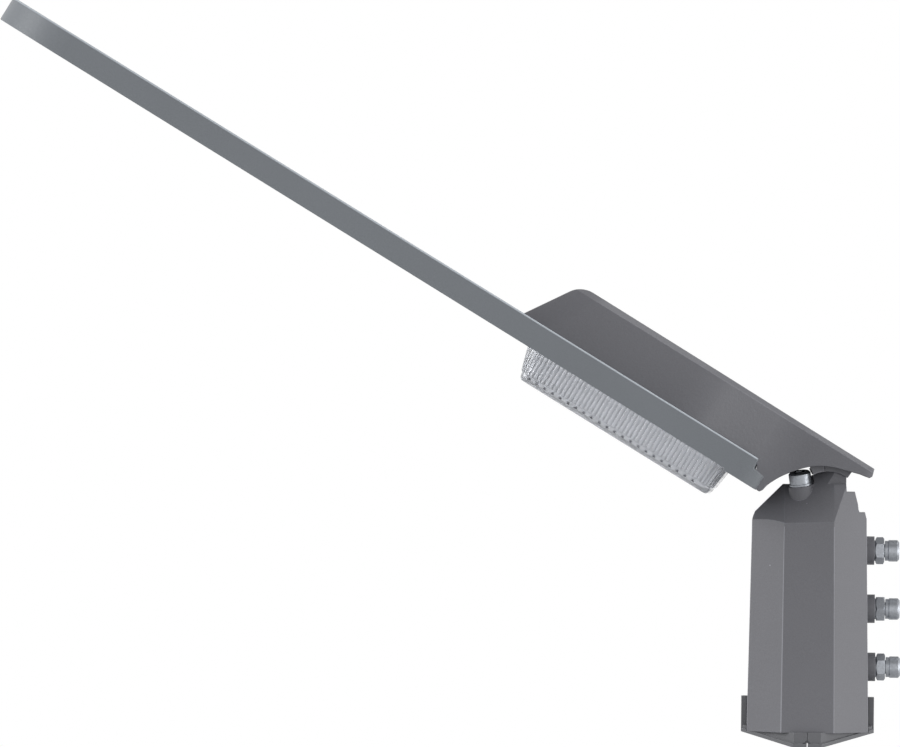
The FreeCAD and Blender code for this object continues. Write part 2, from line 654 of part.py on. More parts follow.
def tilt_fasteners():
    """Two tilt screws with washers, either side of the neck."""
    places = [(tilt_foot(side), tilt_turn(side)) for side in (-1, 1)]
    reach, washer_height = size("tilt_reach"), size("washer_height")
    bore = size("clamp_thread_radius")
    screw = screw_body("tilt_screw_drawing", size("tilt_head_radius"), size("tilt_head_height"),
                       bore, size("tilt_shank"), 8.0)
    washer = Part.makeCylinder(size("tilt_head_radius") + 0.5, washer_height).cut(
        Part.makeCylinder(bore, washer_height * 2))
    solid_feature("tilt_screws", copies(screw.Shape, [
        Placement(base + turn.multVec(Vector(0, 0, reach + washer_height)), turn)
        for base, turn in places]))
    solid_feature("tilt_washers", copies(washer, [
        Placement(base + turn.multVec(Vector(0, 0, reach)), turn) for base, turn in places]))


# Head. Everything below is drawn level, with the tilt axis at the origin.
def rounded_wire(corners, level):
    """A closed plan outline with an arc at every corner that has a radius."""
    count = len(corners)
    cuts = []
    for index in range(count):
        here = Vector(corners[index][0], corners[index][1], level)
        before = Vector(corners[index - 1][0], corners[index - 1][1], level)
        after = Vector(corners[(index + 1) % count][0], corners[(index + 1) % count][1], level)
        towards = (before - here).normalize()
        away = (after - here).normalize()
        half_angle = towards.getAngle(away) / 2
        radius = corners[index][2]
        reach = radius / math.tan(half_angle)
        middle = (towards + away).normalize()
        centre = here + middle * (radius / math.sin(half_angle))
        cuts.append((here + towards * reach, centre - middle * radius, here + away * reach))
    edges = []
    for index in range(count):
        start, crown, finish = cuts[index]
        edges.append(Part.Arc(start, crown, finish).toShape())
        edges.append(Part.LineSegment(finish, cuts[(index + 1) % count][0]).toShape())
    return Part.Wire(edges)


def slab(corners, low, high):
    """A plate with a rounded plan outline between two levels."""
    return Part.Face(rounded_wire(corners, low)).extrude(Vector(0, 0, high - low))


def rectangle(front, end, half, radius):
    """Corners of a plan rectangle from its two distances to the tilt axis."""
    return [(-front, -half, radius), (-end, -half, radius), (-end, half, radius),
            (-front, half, radius)]


def side_profile(points, half):
    """An outline in the XZ plane carried across the whole width; a middle point makes an arc."""
    edges = []
    index = 0
    place = [Vector(p[0], 0, p[1]) for p in points]
    while index < len(points):
        following = (index + 1) % len(points)
        if len(points[following]) == 3:
            last = (index + 2) % len(points)
            edges.append(Part.Arc(place[index], place[following], place[last]).toShape())
            index += 2
        else:
            edges.append(Part.LineSegment(place[index], place[following]).toShape())
            index += 1
    face = Part.Face(Part.Wire(edges))
    face.translate(Vector(0, -half, 0))
    return face.extrude(Vector(0, 2 * half, 0))


def canopy_bottom():
    """Level of the canopy's lower edge."""
    return size("canopy_top") - size("canopy_depth")


def canopy_plate():
    """A long shallow tray, open below, with ribs, a light opening and a seat for the lens."""
    top = size("canopy_top")
    low = canopy_bottom()
    lean = math.tan(math.radians(size("head_tilt")))
    tip, end, half = size("canopy_tip"), size("canopy_end"), size("canopy_half")
    last = size("ledge_end")
    wall = size("rim_wall")
    big, small = size("tip_radius"), size("end_radius")
    plan = [(-tip, -half, big), (-last, -half, small), (-last, half, small), (-tip, half, big)]
    inner = [(-tip + wall, -half + wall, big - wall), (-last - wall, -half + wall, small - wall),
             (-last - wall, half - wall, small - wall), (-tip + wall, half - wall, big - wall)]
    block_shape = slab(plan, low, top)
    brim = [edge for edge in block_shape.Edges if edge.BoundBox.ZMin > top - 0.01]
    block_shape = block_shape.makeFillet(size("canopy_round"), brim)
    skirt_low = low - size("skirt_drop")
    skirt = slab(plan, skirt_low, low + 1).cut([
        slab(inner, skirt_low - 1, low + 2),
        Part.makeBox(tip, 2 * half + 2, 10.0, Vector(-size("skirt_start") - tip, -half - 1, low - 5))])
    step, ledge = size("ledge_start"), top - size("ledge_top")
    ledge_cut = side_profile([(-step, top + 1), (-step, top), (-step + 1, ledge + 1.6),
                              (-last + 0.3, ledge), (-last + 9, ledge), (-last + 9, top + 1)],
                             half + 1)
    arm_gap = size("arm_half") + size("ledge_gap")
    rise = top - skirt_low
    arm_cut = side_profile([(-end - lean, top + 1), (-end + rise * lean, skirt_low),
                            (-end + rise * lean, skirt_low - 1), (-last + 9, skirt_low - 1),
                            (-last + 9, top + 1)], arm_gap)
    back = -end - wall
    arm_wall = side_profile([(back - 0.2, top - 1), (back + rise * lean, skirt_low - 1),
                             (-last + 9, skirt_low - 1), (-last + 9, top - 1)], arm_gap + wall)
    back_wall = side_profile([(-step - wall, top - 1), (-step - wall, ledge - wall),
                              (-last + 9, ledge - wall), (-last + 9, top - 1)], half + 1)
    hollow = slab(inner, low - 1, top - size("canopy_skin")).cut([arm_wall, back_wall])
    shape = block_shape.fuse(skirt).cut([ledge_cut, arm_cut]).cut(hollow)
    under = top - size("canopy_skin")
    rib_low = under - size("rib_depth")
    rib = size("rib_wall")
    ribs = []
    stop = -size("lens_front") - size("lens_flange")
    inside = size("canopy_half") - wall / 2
    count = int((tip - big / 2 + stop) / size("rib_spacing"))
    for number in range(count):
        at = stop - (number + 1) * size("rib_spacing")
        ribs.append(Part.makeBox(rib, 2 * inside, size("rib_depth"), Vector(at, -inside, rib_low)))
    for across in (-0.55, 0.0, 0.55):
        ribs.append(Part.makeBox(tip + stop - wall / 2, rib, size("rib_depth"),
                                 Vector(-tip + wall / 2, across * half - rib / 2, rib_low)))
    envelope = slab([(x * 0.999, y * 0.995, r) for x, y, r in plan], rib_low, under)
    ribbed = shape.fuse([piece.common(envelope) for piece in ribs])
    flange = size("lens_flange")
    seat_top = under
    seat_low = low + size("flange_recess") + size("lens_flange_depth") + size("seal_depth")
    outer = rectangle(size("lens_front") + flange, size("lens_end") - flange,
                      size("lens_half") + flange, size("lens_corner") + flange)
    hole = rectangle(size("lens_front"), size("lens_end"), size("lens_half"), size("lens_corner"))
    seat = slab(outer, seat_low, seat_top).cut(slab(hole, seat_low - 1, seat_top + 1))
    window = slab(rectangle(size("window_front"), size("window_end"), size("window_half"), 6.0),
                  low, top + 1)
    shape = ribbed.fuse(seat).cut(window)
    drills = [Part.makeCylinder(1.6, size("lens_screw_grip") + 1.1, Vector(x, y, seat_low - 0.1))
              for x, y in lens_screw_places()]
    drills += [Part.makeCylinder(2.6, 8.0, Vector(x, y, under - 2)) for x, y in housing_boss_places()]
    shape = shape.cut(drills).removeSplitter()
    solid_feature("canopy_plate", shape, on_head=True)


def lens_screw_places():
    """Eight screws round the lens flange."""
    margin = size("lens_flange") / 2
    front = -size("lens_front") - margin
    end = -size("lens_end") + margin
    half = size("lens_half") + margin
    middle = (front + end) / 2
    places = [(x, s * half) for x in (front + 14, middle, end - 14) for s in (-1, 1)]
    return places + [(front, 0.0), (end, 0.0)]


def housing_boss_places():
    """Four screws that hold the housing down on the canopy, hidden by the lens."""
    front = -(size("window_front") + size("lens_front")) / 2 - 2.15
    end = -size("window_end") + 12.0
    return [(front, -56.0), (front, 56.0), (end, -48.0), (end, 48.0)]


def housing_plan(level, inset):
    """The housing's plan outline at a level, moved inwards by a wall."""
    rise = level - size("canopy_top")
    bump = size("bump_half") - rise * math.tan(math.radians(size("side_lean"))) - inset
    arm = size("arm_half") - rise * math.tan(math.radians(size("arm_lean"))) - inset
    front = -size("bump_front") - 6.0 + rise * math.tan(math.radians(size("front_lean"))) + inset
    end = size("arm_end") + 1.8 - inset
    wide, narrow = -size("bump_shoulder"), -size("neck_shoulder")
    corner = max(size("corner_radius") - inset, 4.0)
    beak = max(size("beak_radius") - inset, 1.5)
    sweep = size("sweep_radius")
    lower = [(front, -bump, corner), (wide, -bump, sweep), (narrow, -arm, sweep), (end, -arm, beak)]
    return lower + [(x, -y, r) for x, y, r in reversed(lower)]


def housing_loft(levels):
    """Straight walls through the housing's outline at several levels and insets."""
    wires = [rounded_wire(housing_plan(level, inset), level) for level, inset in levels]
    return Part.makeLoft(wires, True, True)


def arm_profile():
    """The housing seen from the side: front face, top, beak, arch over the joint, and toe."""
    top, foot = size("arm_top"), size("canopy_top")
    front, end = -size("bump_front"), size("arm_end")
    lean = math.radians(size("front_lean"))
    nose = size("nose_radius")
    turn = (math.pi / 2 - lean) / 2
    reach = nose * math.tan(turn)
    corner = front + (top - foot) * math.tan(lean)
    back = Vector(-math.sin(lean), 0, -math.cos(lean)) * reach
    entry = (corner + back.x, top + back.z)
    leave = (corner + reach, top)
    centre = (corner + reach, top - nose)
    spread = math.pi / 2 + turn
    crown = (centre[0] + nose * math.cos(spread), centre[1] + nose * math.sin(spread), "arc")
    toe = -size("toe_drop")
    lean_back = math.tan(math.radians(size("head_tilt")))
    plate_end = -size("canopy_end") + 0.3
    beak = top - size("arm_fall")
    return [(front, foot), entry, crown, leave, (end - 1.6, beak), (end, beak - 5.7),
            (end - 1.0, beak - 7.5), (8.4, beak - 8.8), (-6.2, 26.9), (-22.2, 19.6, "arc"),
            (-34.0, 7.9), (-41.5, -2.4, "arc"), (-46.2, -12.5), (-47.0, -16.8), (-48.3, toe),
            (plate_end + (foot - toe) * lean_back, toe), (plate_end, foot)]


def arm_housing():
    """One casting: gear housing, arm, toe and beak, hollow from below."""
    top = size("arm_top")
    wall = size("housing_wall")
    edge = top - size("edge_drop")
    over = 4.0
    slope = size("edge_inset") / size("edge_drop")
    foot = size("canopy_top")
    outer = housing_loft([(-24.0, 0.0), (edge, 0.0), (top + over, (size("edge_drop") + over) * slope)])
    shape = outer.common(side_profile(arm_profile(), size("canopy_half")))
    lean = math.tan(math.radians(size("front_lean")))
    ceiling = top - wall
    inner = housing_loft([(foot - 1, wall), (edge - 1.0, wall), (ceiling, wall + 2.6)])
    front = -size("bump_front") + wall * 1.2
    back = -size("bulkhead_front")
    plate_end = -size("canopy_end")
    gear_room = side_profile([
        (front, foot - 1), (front + (ceiling - 8 - foot) * lean, ceiling - 8),
        (front + (ceiling - foot) * lean + 6, ceiling), (back + 12, ceiling), (back, ceiling - 12),
        (back, foot + 2.5), (plate_end + 0.3, foot + 2.5), (plate_end + 0.3, foot - 1)], 150.0)
    arm_back = -size("bulkhead_back")
    arm_room = side_profile([
        (arm_back + 2, -30.0), (arm_back + 2, 8.0), (arm_back + 14, 28.0), (arm_back + 24, ceiling),
        (size("arm_end") - wall, ceiling), (size("arm_end") - wall, -30.0)],
        size("arm_half") - wall - 1.6)
    shape = shape.cut([inner.common(gear_room), arm_room])
    rabbet = housing_loft([(foot - 1, wall - size("gasket_width")),
                           (foot + size("gasket_height"), wall - size("gasket_width"))])
    rabbet = rabbet.common(side_profile([
        (-size("bump_front") + wall - size("gasket_width") + 1.2, foot - 1),
        (-size("bump_front") + wall - size("gasket_width") + 1.2, foot + size("gasket_height")),
        (plate_end - 2.0, foot + size("gasket_height")), (plate_end - 2.0, foot - 1)], 150.0))
    shape = shape.cut(rabbet)
    bosses = []
    for x, y in housing_boss_places():
        boss = Part.makeCylinder(5.5, top - foot, Vector(x, y, foot))
        bosses.append(boss.common(outer))
    pad = Part.makeBox(22.0, 2 * size("saddle_half"), top - 2 - size("saddle_block_top"),
                       Vector(-20.0, -size("saddle_half"), size("saddle_block_top")))
    shape = shape.fuse(bosses + [pad]).common(side_profile(arm_profile(), 150.0))
    hole = size("housing_screw_length") - size("canopy_skin") + 2
    drills = [Part.makeCylinder(2.1, hole + 1, Vector(x, y, foot - 1)) for x, y in housing_boss_places()]
    grip = size("saddle_screw_length") - 4.6 + 1.5
    drills += [Part.makeCylinder(2.5, grip + 0.1, Vector(x, y, size("saddle_block_top") - 0.1))
               for x, y in saddle_screw_places()]
    gland = Part.makeCylinder(8.0, 30.0, Vector(-size("bulkhead_front") - 8, 0, 14.0), Vector(1, 0, 0))
    shape = shape.cut(drills + [gland]).removeSplitter()
    solid_feature("arm_housing", shape, on_head=True)


def housing_gasket():
    """A flat seal in the rabbet under the housing's rim."""
    foot = size("canopy_top")
    wall, width = size("housing_wall"), size("gasket_width")
    outer_inset = wall - width + 0.1
    outer = housing_loft([(foot, outer_inset), (foot + size("gasket_height") - 0.1, outer_inset)])
    inner = housing_loft([(foot - 1, wall + 0.2), (foot + 3, wall + 0.2)])
    front = -size("bump_front") + wall - width + 1.4
    end = -size("canopy_end") - 2.2
    outer = outer.common(side_profile([(front, foot - 1), (front, foot + 3), (end, foot + 3),
                                       (end, foot - 1)], 150.0))
    inner = inner.common(side_profile([(front + width, foot - 1), (front + width, foot + 3),
                                       (end - width, foot + 3), (end - width, foot - 1)], 150.0))
    solid_feature("housing_gasket", outer.cut(inner), on_head=True)


def saddle_screw_places():
    """Two screws up through the saddle into the arm."""
    return [(-4.0, -8.0), (-4.0, 8.0)]


def sector(radius, half, first, last):
    """A wedge about the tilt axis between two swings from the top, towards the canopy positive."""
    start = Vector(radius * math.sin(math.radians(-first)), -half,
                   radius * math.cos(math.radians(first)))
    along = Vector(0, 2 * half, 0)
    middle = math.radians((first + last) / 2)
    crown = Vector(-radius * math.sin(middle), -half, radius * math.cos(middle))
    finish = Vector(-radius * math.sin(math.radians(last)), -half,
                    radius * math.cos(math.radians(last)))
    hub = Vector(0, -half, 0)
    rim = Part.Arc(start, crown, finish).toShape()
    face = Part.Face(Part.Wire([Part.LineSegment(hub, start).toShape(), rim,
                                Part.LineSegment(finish, hub).toShape()]))
    return face.extrude(along)


def tilt_saddle():
    """A shoe whose hollow underside slides on the spigot's neck, with a guide on each side."""
    bore_radius = size("knuckle_radius") + size("running_gap")
    outer = bore_radius + size("saddle_wall")
    half, wing = size("saddle_half"), size("wing_half")
    back, front = -size("saddle_back_swing"), size("saddle_end_swing")
    shoe = sector(outer, half, back, front)
    wings = sector(outer, wing, back, size("wing_swing"))
    block_shape = Part.makeBox(18.0, 2 * half, size("saddle_block_top"), Vector(-18.0, -half, 0))
    keep = sector(2 * outer, half, back, front)
    inside = wing - size("guide_wall")
    bore = Part.makeCylinder(bore_radius, 2 * inside, Vector(0, -inside, 0), Vector(0, 1, 0))
    guide_radius = size("knuckle_radius") - size("guide_drop")
    core = Part.makeCylinder(guide_radius, 2 * wing + 2, Vector(0, -wing - 1, 0), Vector(0, 1, 0))
    shape = shoe.fuse([wings, block_shape.common(keep)]).cut([bore, core])
    drills = []
    for swing in (-7.0, 0.0, 7.0):
        angle = math.radians(size("head_tilt") + swing)
        drills.append(Part.makeCylinder(5.0, 2 * outer, Vector(),
                                        Vector(-math.sin(angle), 0, math.cos(angle))))
    counterbore = size("saddle_block_top") - 4.6
    for x, y in saddle_screw_places():
        drills.append(Part.makeCylinder(2.6, 2 * outer, Vector(x, y, 0)))
        drills.append(Part.makeCylinder(4.6, counterbore, Vector(x, y, 0)))
    solid_feature("tilt_saddle", shape.cut(drills).removeSplitter(), on_head=True)
    screw = screw_body("saddle_screw_drawing", 4.4, 3.0, 2.5, size("saddle_screw_length"), 4.0)
    upside = Rotation(Vector(1, 0, 0), 180)
    solid_feature("saddle_screws", copies(screw.Shape, [
        Placement(Vector(x, y, counterbore), upside) for x, y in saddle_screw_places()]), on_head=True)


def lens_outline(front, end, half, level, fluted):
    """A plan outline with straight sides; fluted sides run in and out with the flute pitch."""
    corner = size("lens_corner")
    depth = size("flute_height") if fluted else 0.0
    points = []

    def run(start, finish, steps):
        """Points from start towards finish, every second one raised to the left of travel."""
        along = finish - start
        outward = Vector(along.y, -along.x, 0).normalize() * depth
        for number in range(2 * steps):
            point = start + along * (number / (2.0 * steps))
            points.append(point + outward if number % 2 else point)

    length = front - end - 2 * corner
    width = 2 * half - 2 * corner
    steps_long = max(int(round((size("lens_front") - size("lens_end") - 2 * corner)
                               / size("flute_pitch"))), 2)
    steps_wide = max(int(round((2 * size("lens_half") - 2 * corner)
                               / (4 * size("flute_pitch")))), 2)
    bend = corner * (1 - math.sqrt(0.5))
    corners = [(-front, -half, 1, 1), (-end, -half, -1, 1), (-end, half, -1, -1), (-front, half, 1, -1)]
    for index, (x, y, right, up) in enumerate(corners):
        first = Vector(x, y + up * corner, level)
        second = Vector(x + right * corner, y, level)
        middle = Vector(x + right * bend, y + up * bend, level)
        points.extend([first, middle] if index % 2 == 0 else [second, middle])
        start = second if index % 2 == 0 else first
        if index % 2 == 0:
            run(start, start + Vector(right * length, 0, 0), steps_long)
        else:
            run(start, start + Vector(0, up * width, 0), steps_wide)
    return Part.makePolygon(points + [points[0]])


def ribbed_lens():
    """A clear drafted box with fluted walls, closed below, with a flange above."""
    low = canopy_bottom() + size("flange_recess")
    bottom = canopy_bottom() - size("lens_depth")
    wall = size("lens_wall")
    front, end, half = size("lens_front"), size("lens_end"), size("lens_half")
    bevel = 5.0
    outer = Part.makeLoft([
        lens_outline(front, end, half, low, True),
        lens_outline(front - size("lens_front_draft") * 0.8, end + size("lens_end_draft") * 0.8,
                     half - size("lens_side_draft") * 0.8, bottom + bevel, True),
        lens_outline(front - size("lens_front_draft") - bevel * 0.55,
                     end + size("lens_end_draft") + bevel * 0.55,
                     half - size("lens_side_draft") - bevel * 0.55, bottom, True)], True, True)
    inner = Part.makeLoft([
        lens_outline(front - wall, end + wall, half - wall, low, False),
        lens_outline(front - size("lens_front_draft") - wall, end + size("lens_end_draft") + wall,
                     half - size("lens_side_draft") - wall, bottom + wall, False)], True, True)
    flange, depth = size("lens_flange"), size("lens_flange_depth")
    edge = flange - 0.3
    plan = rectangle(front + edge, end - edge, half + edge, size("lens_corner") + edge)
    mouth = rectangle(front - wall, end + wall, half - wall, size("lens_corner"))
    rim = slab(plan, low, low + depth).cut(slab(mouth, low - 1, low + depth + 1))
    shape = outer.cut(inner).fuse(rim)
    drills = [Part.makeCylinder(2.2, 2 * depth + 4, Vector(x, y, low - depth))
              for x, y in lens_screw_places()]
    solid_feature("ribbed_lens", shape.cut(drills).removeSplitter(), on_head=True)
    seal_low, seal_depth = low + depth, size("seal_depth")
    seal = slab(plan, seal_low, seal_low + seal_depth).cut(
        slab(rectangle(front, end, half, size("lens_corner")), seal_low - 1,
             seal_low + seal_depth + 1))
    seal = seal.cut([Part.makeCylinder(2.2, seal_depth * 3, Vector(x, y, seal_low - seal_depth))
                     for x, y in lens_screw_places()])
    solid_feature("lens_gasket", seal, on_head=True)
    screw = screw_body("lens_screw_drawing", 3.4, 2.0, 1.6,
                       depth + seal_depth + size("lens_screw_grip"), 2.5)
    upside = Rotation(Vector(1, 0, 0), 180)
    solid_feature("lens_screws", copies(screw.Shape, [
        Placement(Vector(x, y, low), upside) for x, y in lens_screw_places()]), on_head=True)


def housing_screws():
    """Four screws up through the canopy into the housing's bosses."""
    under = size("canopy_top") - size("canopy_skin")
    screw = screw_body("housing_screw_drawing", 4.2, 4.0, 2.1, size("housing_screw_length"), 4.0)
    upside = Rotation(Vector(1, 0, 0), 180)
    solid_feature("housing_screws", copies(screw.Shape, [
        Placement(Vector(x, y, under), upside) for x, y in housing_boss_places()]), on_head=True)


def light_engine():
    """Gear tray, heat spreader, LED board and optic plate, stacked in the light opening."""
    front, end, half = size("window_front"), size("window_end"), size("window_half")
    lap = size("tray_margin")
    floor = size("canopy_top")
    tray = slab(rectangle(front + lap, end - lap, half + lap, 5.0), floor, floor + size("tray_sheet"))
    lip = slab(rectangle(front + lap, front + lap - size("tray_sheet"), half - 6, 0.5), floor,
               floor + 12.0)
    solid_feature("gear_tray", tray.fuse(lip).removeSplitter(), on_head=True)
    gap = size("spreader_gap")
    low = floor - size("spreader_depth")
    spreader = slab(rectangle(front - gap, end + gap, half - gap, 4.0), low, floor)
    solid_feature("heat_spreader", spreader, on_head=True)
    step = gap + size("board_margin")
    board_low = low - size("board_depth")
    board = slab(rectangle(front - step, end + step, half - step, 3.0), board_low, low)
    side, depth = size("chip_side"), size("chip_depth")
    chips, domes = [], []
    plate_top = board_low - depth
    plate_low = plate_top - size("optic_sheet")
    cap_radius = (size("optic_radius") ** 2 + size("optic_height") ** 2) / (2 * size("optic_height"))
    for x, y in led_places():
        chips.append(Part.makeBox(side, side, depth, Vector(x - side / 2, y - side / 2, plate_top)))
        ball = Part.makeSphere(cap_radius, Vector(
            x, y, plate_low - size("optic_height") + cap_radius))
        keep = Part.makeCylinder(size("optic_radius"), size("optic_height") + 0.5,
                                 Vector(x, y, plate_low - size("optic_height")))
        domes.append(ball.common(keep))
    solid_feature("led_board", board.fuse(chips).removeSplitter(), on_head=True)
    plate = slab(rectangle(front - step, end + step, half - step, 3.0), plate_low, plate_top)
    skirt = slab(rectangle(front - step, end + step, half - step, 3.0), plate_top, board_low).cut(
        slab(rectangle(front - step - 2, end + step + 2, half - step - 2, 2.0), plate_top - 1,
             board_low + 1))
    solid_feature("optic_plate", plate.fuse(domes + [skirt]).removeSplitter(), on_head=True)


def led_places():
    """Centres of the LED packages, on a grid in the middle of the light opening."""
    middle = -(size("window_front") + size("window_end")) / 2
    columns, rows = int(size("led_columns")), int(size("led_rows"))
    return [(middle + (c - (columns - 1) / 2.0) * size("led_pitch_along"),
             (r - (rows - 1) / 2.0) * size("led_pitch_across"))
            for c in range(columns) for r in range(rows)]


def case_with_feet(low, length, width, height, foot, sole, holes):
    """A moulded case with a foot at each end, drilled for its screws."""
    body = Part.makeBox(length, width, height, low)
    edges = [edge for edge in body.Edges if abs(edge.BoundBox.ZLength - height) < 0.01]
    body = body.makeFillet(3.0, edges)
    rim = [edge for edge in body.Edges if edge.BoundBox.ZMin > low.z + height - 0.01]
    body = body.makeChamfer(1.2, rim)
    feet = Part.makeBox(length + 2 * foot, width * 0.6, sole,
                        low + Vector(-foot, width * 0.2, 0))
    drills = [Part.makeCylinder(1.9, 3 * sole, Vector(x, y, low.z - sole)) for x, y in holes]
    return body.fuse(feet).cut(drills).removeSplitter()


def control_gear():
    """Driver, surge protector and terminal block on the tray, and their screws."""
    floor = size("canopy_top") + size("tray_sheet")
    front = -size("window_front") + size("gear_margin")
    foot = size("gear_foot")
    sole = size("gear_foot_height")
    screws = []
    for label, length, width, height, y in (
            ("led_driver", "driver_length", "driver_width", "driver_height", size("driver_side")),
            ("surge_protector", "surge_length", "surge_width", "surge_height",
             -size("surge_side"))):
        low = Vector(front, y, floor)
        span, breadth = size(length), size(width)
        holes = [(low.x - foot / 2, y + breadth / 2), (low.x + span + foot / 2, y + breadth / 2)]
        screws += holes
        solid_feature(label, case_with_feet(low, span, breadth, size(height), foot, sole, holes),
                      on_head=True)
    low = Vector(front + size("terminal_front"), -size("terminal_side"), floor)
    block_shape = Part.makeBox(size("terminal_length"), size("terminal_width"),
                               size("terminal_height"), low)
    pitch = size("terminal_length") / 5
    ways = [Part.makeCylinder(1.6, 9.0, Vector(low.x + pitch * (k + 0.5), low.y + 6.0,
                                               floor + size("terminal_height") - 8.0))
            for k in range(5)]
    entries = [Part.makeBox(pitch * 0.6, 8.0, 6.0, Vector(low.x + pitch * (k + 0.2), low.y - 1,
                                                          floor + 3.0)) for k in range(5)]
    solid_feature("terminal_block", block_shape.cut(ways + entries), on_head=True)
    screw = screw_body("gear_screw_drawing", 3.4, 2.4, 1.9, sole, 2.5)
    solid_feature("gear_screws", copies(screw.Shape, [
        Placement(Vector(x, y, floor + sole), Rotation()) for x, y in screws]), on_head=True)


def cable_gland():
    """The gland that takes the supply cable through the bulkhead."""
    wall, level = -size("bulkhead_front"), 14.0
    along = Vector(1, 0, 0)
    body = Part.makeCylinder(7.9, 16.0, Vector(wall, 0, level), along)
    hexagon = Part.Face(Part.makePolygon([
        Vector(wall - 5.0, 11.0 * math.cos(math.radians(60 * k)),
               level + 11.0 * math.sin(math.radians(60 * k))) for k in range(7)]))
    dome = Part.makeCone(6.5, 9.0, 7.0, Vector(wall - 12.0, 0, level), along)
    bore = Part.makeCylinder(4.5, 60.0, Vector(wall - 30, 0, level), along)
    shape = body.fuse([hexagon.extrude(Vector(5.0, 0, 0)), dome]).cut(bore).removeSplitter()
    solid_feature("cable_gland", shape, on_head=True)


spigot_casting()
base_collar()
clamp_fasteners()
tilt_fasteners()
canopy_plate()
arm_housing()
housing_gasket()
tilt_saddle()
ribbed_lens()
housing_screws()
light_engine()
control_gear()
cable_gland()
doc.recompute()

for thing in doc.Objects:
    if "Invalid" in thing.State or "Error" in thing.State:
        raise RuntimeError("%s is %s" % (thing.Label, thing.State))
for label, thing in NODES.items():
    if thing.Shape.isNull() or not thing.Shape.isValid():
        raise RuntimeError("%s has no valid shape" % label)

os.makedirs("parts", exist_ok=True)
for label, thing in NODES.items():
    thing.Shape.exportStep("parts/%s.step" % label)
    box = thing.Shape.BoundBox
    print("%-16s solids %2d volume %9.1f faces %4d  x %.1f %.1f y %.1f %.1f z %.1f %.1f" % (
        label, len(thing.Shape.Solids), thing.Shape.Volume, len(thing.Shape.Faces),
        box.XMin, box.XMax, box.YMin, box.YMax, box.ZMin, box.ZMax))
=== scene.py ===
# %% [markdown]
# # A flat street lantern on a post-top spigot
# A long thin canopy slopes up from a gear housing. The housing's arm bends over an octagonal spigot that
# three screws clamp to the pole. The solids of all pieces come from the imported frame; this notebook gives
# them their finishes, replaces the clear lens by a finer one, and sets the light and the camera.

# %% Load the frame
import json
import math

import bmesh
import bpy
import numpy as np
from mathutils import Matrix, Vector


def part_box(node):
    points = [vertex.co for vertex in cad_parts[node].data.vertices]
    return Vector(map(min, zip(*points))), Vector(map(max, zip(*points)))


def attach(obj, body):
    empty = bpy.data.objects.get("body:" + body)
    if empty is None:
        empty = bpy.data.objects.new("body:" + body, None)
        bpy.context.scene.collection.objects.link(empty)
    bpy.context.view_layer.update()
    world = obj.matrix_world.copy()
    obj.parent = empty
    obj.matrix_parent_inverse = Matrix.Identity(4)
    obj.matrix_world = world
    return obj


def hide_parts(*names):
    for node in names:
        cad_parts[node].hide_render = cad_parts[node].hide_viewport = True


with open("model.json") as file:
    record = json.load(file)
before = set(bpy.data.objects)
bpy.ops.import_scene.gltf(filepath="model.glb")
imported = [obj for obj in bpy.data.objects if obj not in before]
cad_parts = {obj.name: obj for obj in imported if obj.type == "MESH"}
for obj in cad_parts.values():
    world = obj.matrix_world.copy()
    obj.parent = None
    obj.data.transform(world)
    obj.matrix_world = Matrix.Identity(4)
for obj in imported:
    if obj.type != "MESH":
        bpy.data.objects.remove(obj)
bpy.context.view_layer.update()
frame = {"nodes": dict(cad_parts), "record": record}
nodes = frame["nodes"]
print("pieces in the frame:", len(nodes))

# %% [markdown]
# ## A short way to write nodes
# A material is a small tree: each node does one sum and passes its result on. One helper makes a node, sets
# its options and fills its sockets, so that each line below reads as one step of the formula.

# %% Node helpers
MM = 0.001


def node(tree, kind, values=(), named=None, **options):
    """Adds a node. A socket among the values is linked, a plain value is set, and None is left alone."""
    made = tree.nodes.new("ShaderNode" + kind)
    for key, value in options.items():
        setattr(made, key, value)
    pairs = list(zip(made.inputs, values))
    pairs += [(made.inputs[key], value) for key, value in (named or {}).items()]
    for socket, value in pairs:
        if isinstance(value, bpy.types.NodeSocket):
            tree.links.new(value, socket)
        elif value is not None:
            socket.default_value = value
    return made


def math_node(tree, operation, *values):
    """The result of one sum on numbers."""
    return node(tree, "Math", values, operation=operation).outputs[0]


def map_range(tree, value, start, end, **options):
    """A value brought from one range to another, without going past its ends."""
    labels = {"Value": value, "From Min": start[0], "From Max": start[1], "To Min": end[0], "To Max": end[1]}
    return node(tree, "MapRange", named=labels, **options).outputs[0]


def new_material(name):
    """A material with its node tree and its Principled shader."""
    material = bpy.data.materials.new(name)
    material.use_nodes = True
    return material, material.node_tree, material.node_tree.nodes["Principled BSDF"]


def set_inputs(group, values):
    """Gives each named input of a placed group its value."""
    for label, value in values.items():
        group.inputs[label].default_value = value


def new_group(name, inputs, outputs):
    """An empty node group with named sockets: its tree, its entry's sockets and its last node."""
    tree = bpy.data.node_groups.new(name, "ShaderNodeTree")
    for direction, sockets in (("INPUT", inputs), ("OUTPUT", outputs)):
        for label, kind in sockets:
            tree.interface.new_socket(label, in_out=direction, socket_type="NodeSocket" + kind)
    return tree, tree.nodes.new("NodeGroupInput").outputs, tree.nodes.new("NodeGroupOutput")


# %% [markdown]
# ## Powder coat
# The castings are coated with powder that melts into a slightly wavy skin. Seen close, it has a grain of
# light and dark, a slow drift from one area to the next and a few bright specks of dust. A painted highlight
# lightens its colour along the edges. All of it is worked out from the piece's own coordinates and normals,
# so it stays on the piece when the head tilts.
#
# Painted highlights go on edges found in three ways. The Bevel node gives the normal of a rounded edge where
# the solid has a sharp one, and there it differs from the true normal. Where the solid itself is rounded,
# the
# normal tells: on the rim of the canopy it stands between the canopy's upward axis and its sides, and on the
# octagon it points between two faces, so that the cosine of eight times its heading is low.


# %% Masks for painted highlights on rounded edges
TILT = math.radians(31.2)
CANOPY_UP = (math.sin(TILT), 0.0, math.cos(TILT))
SHOULDER_LEVEL = 152.0 * MM


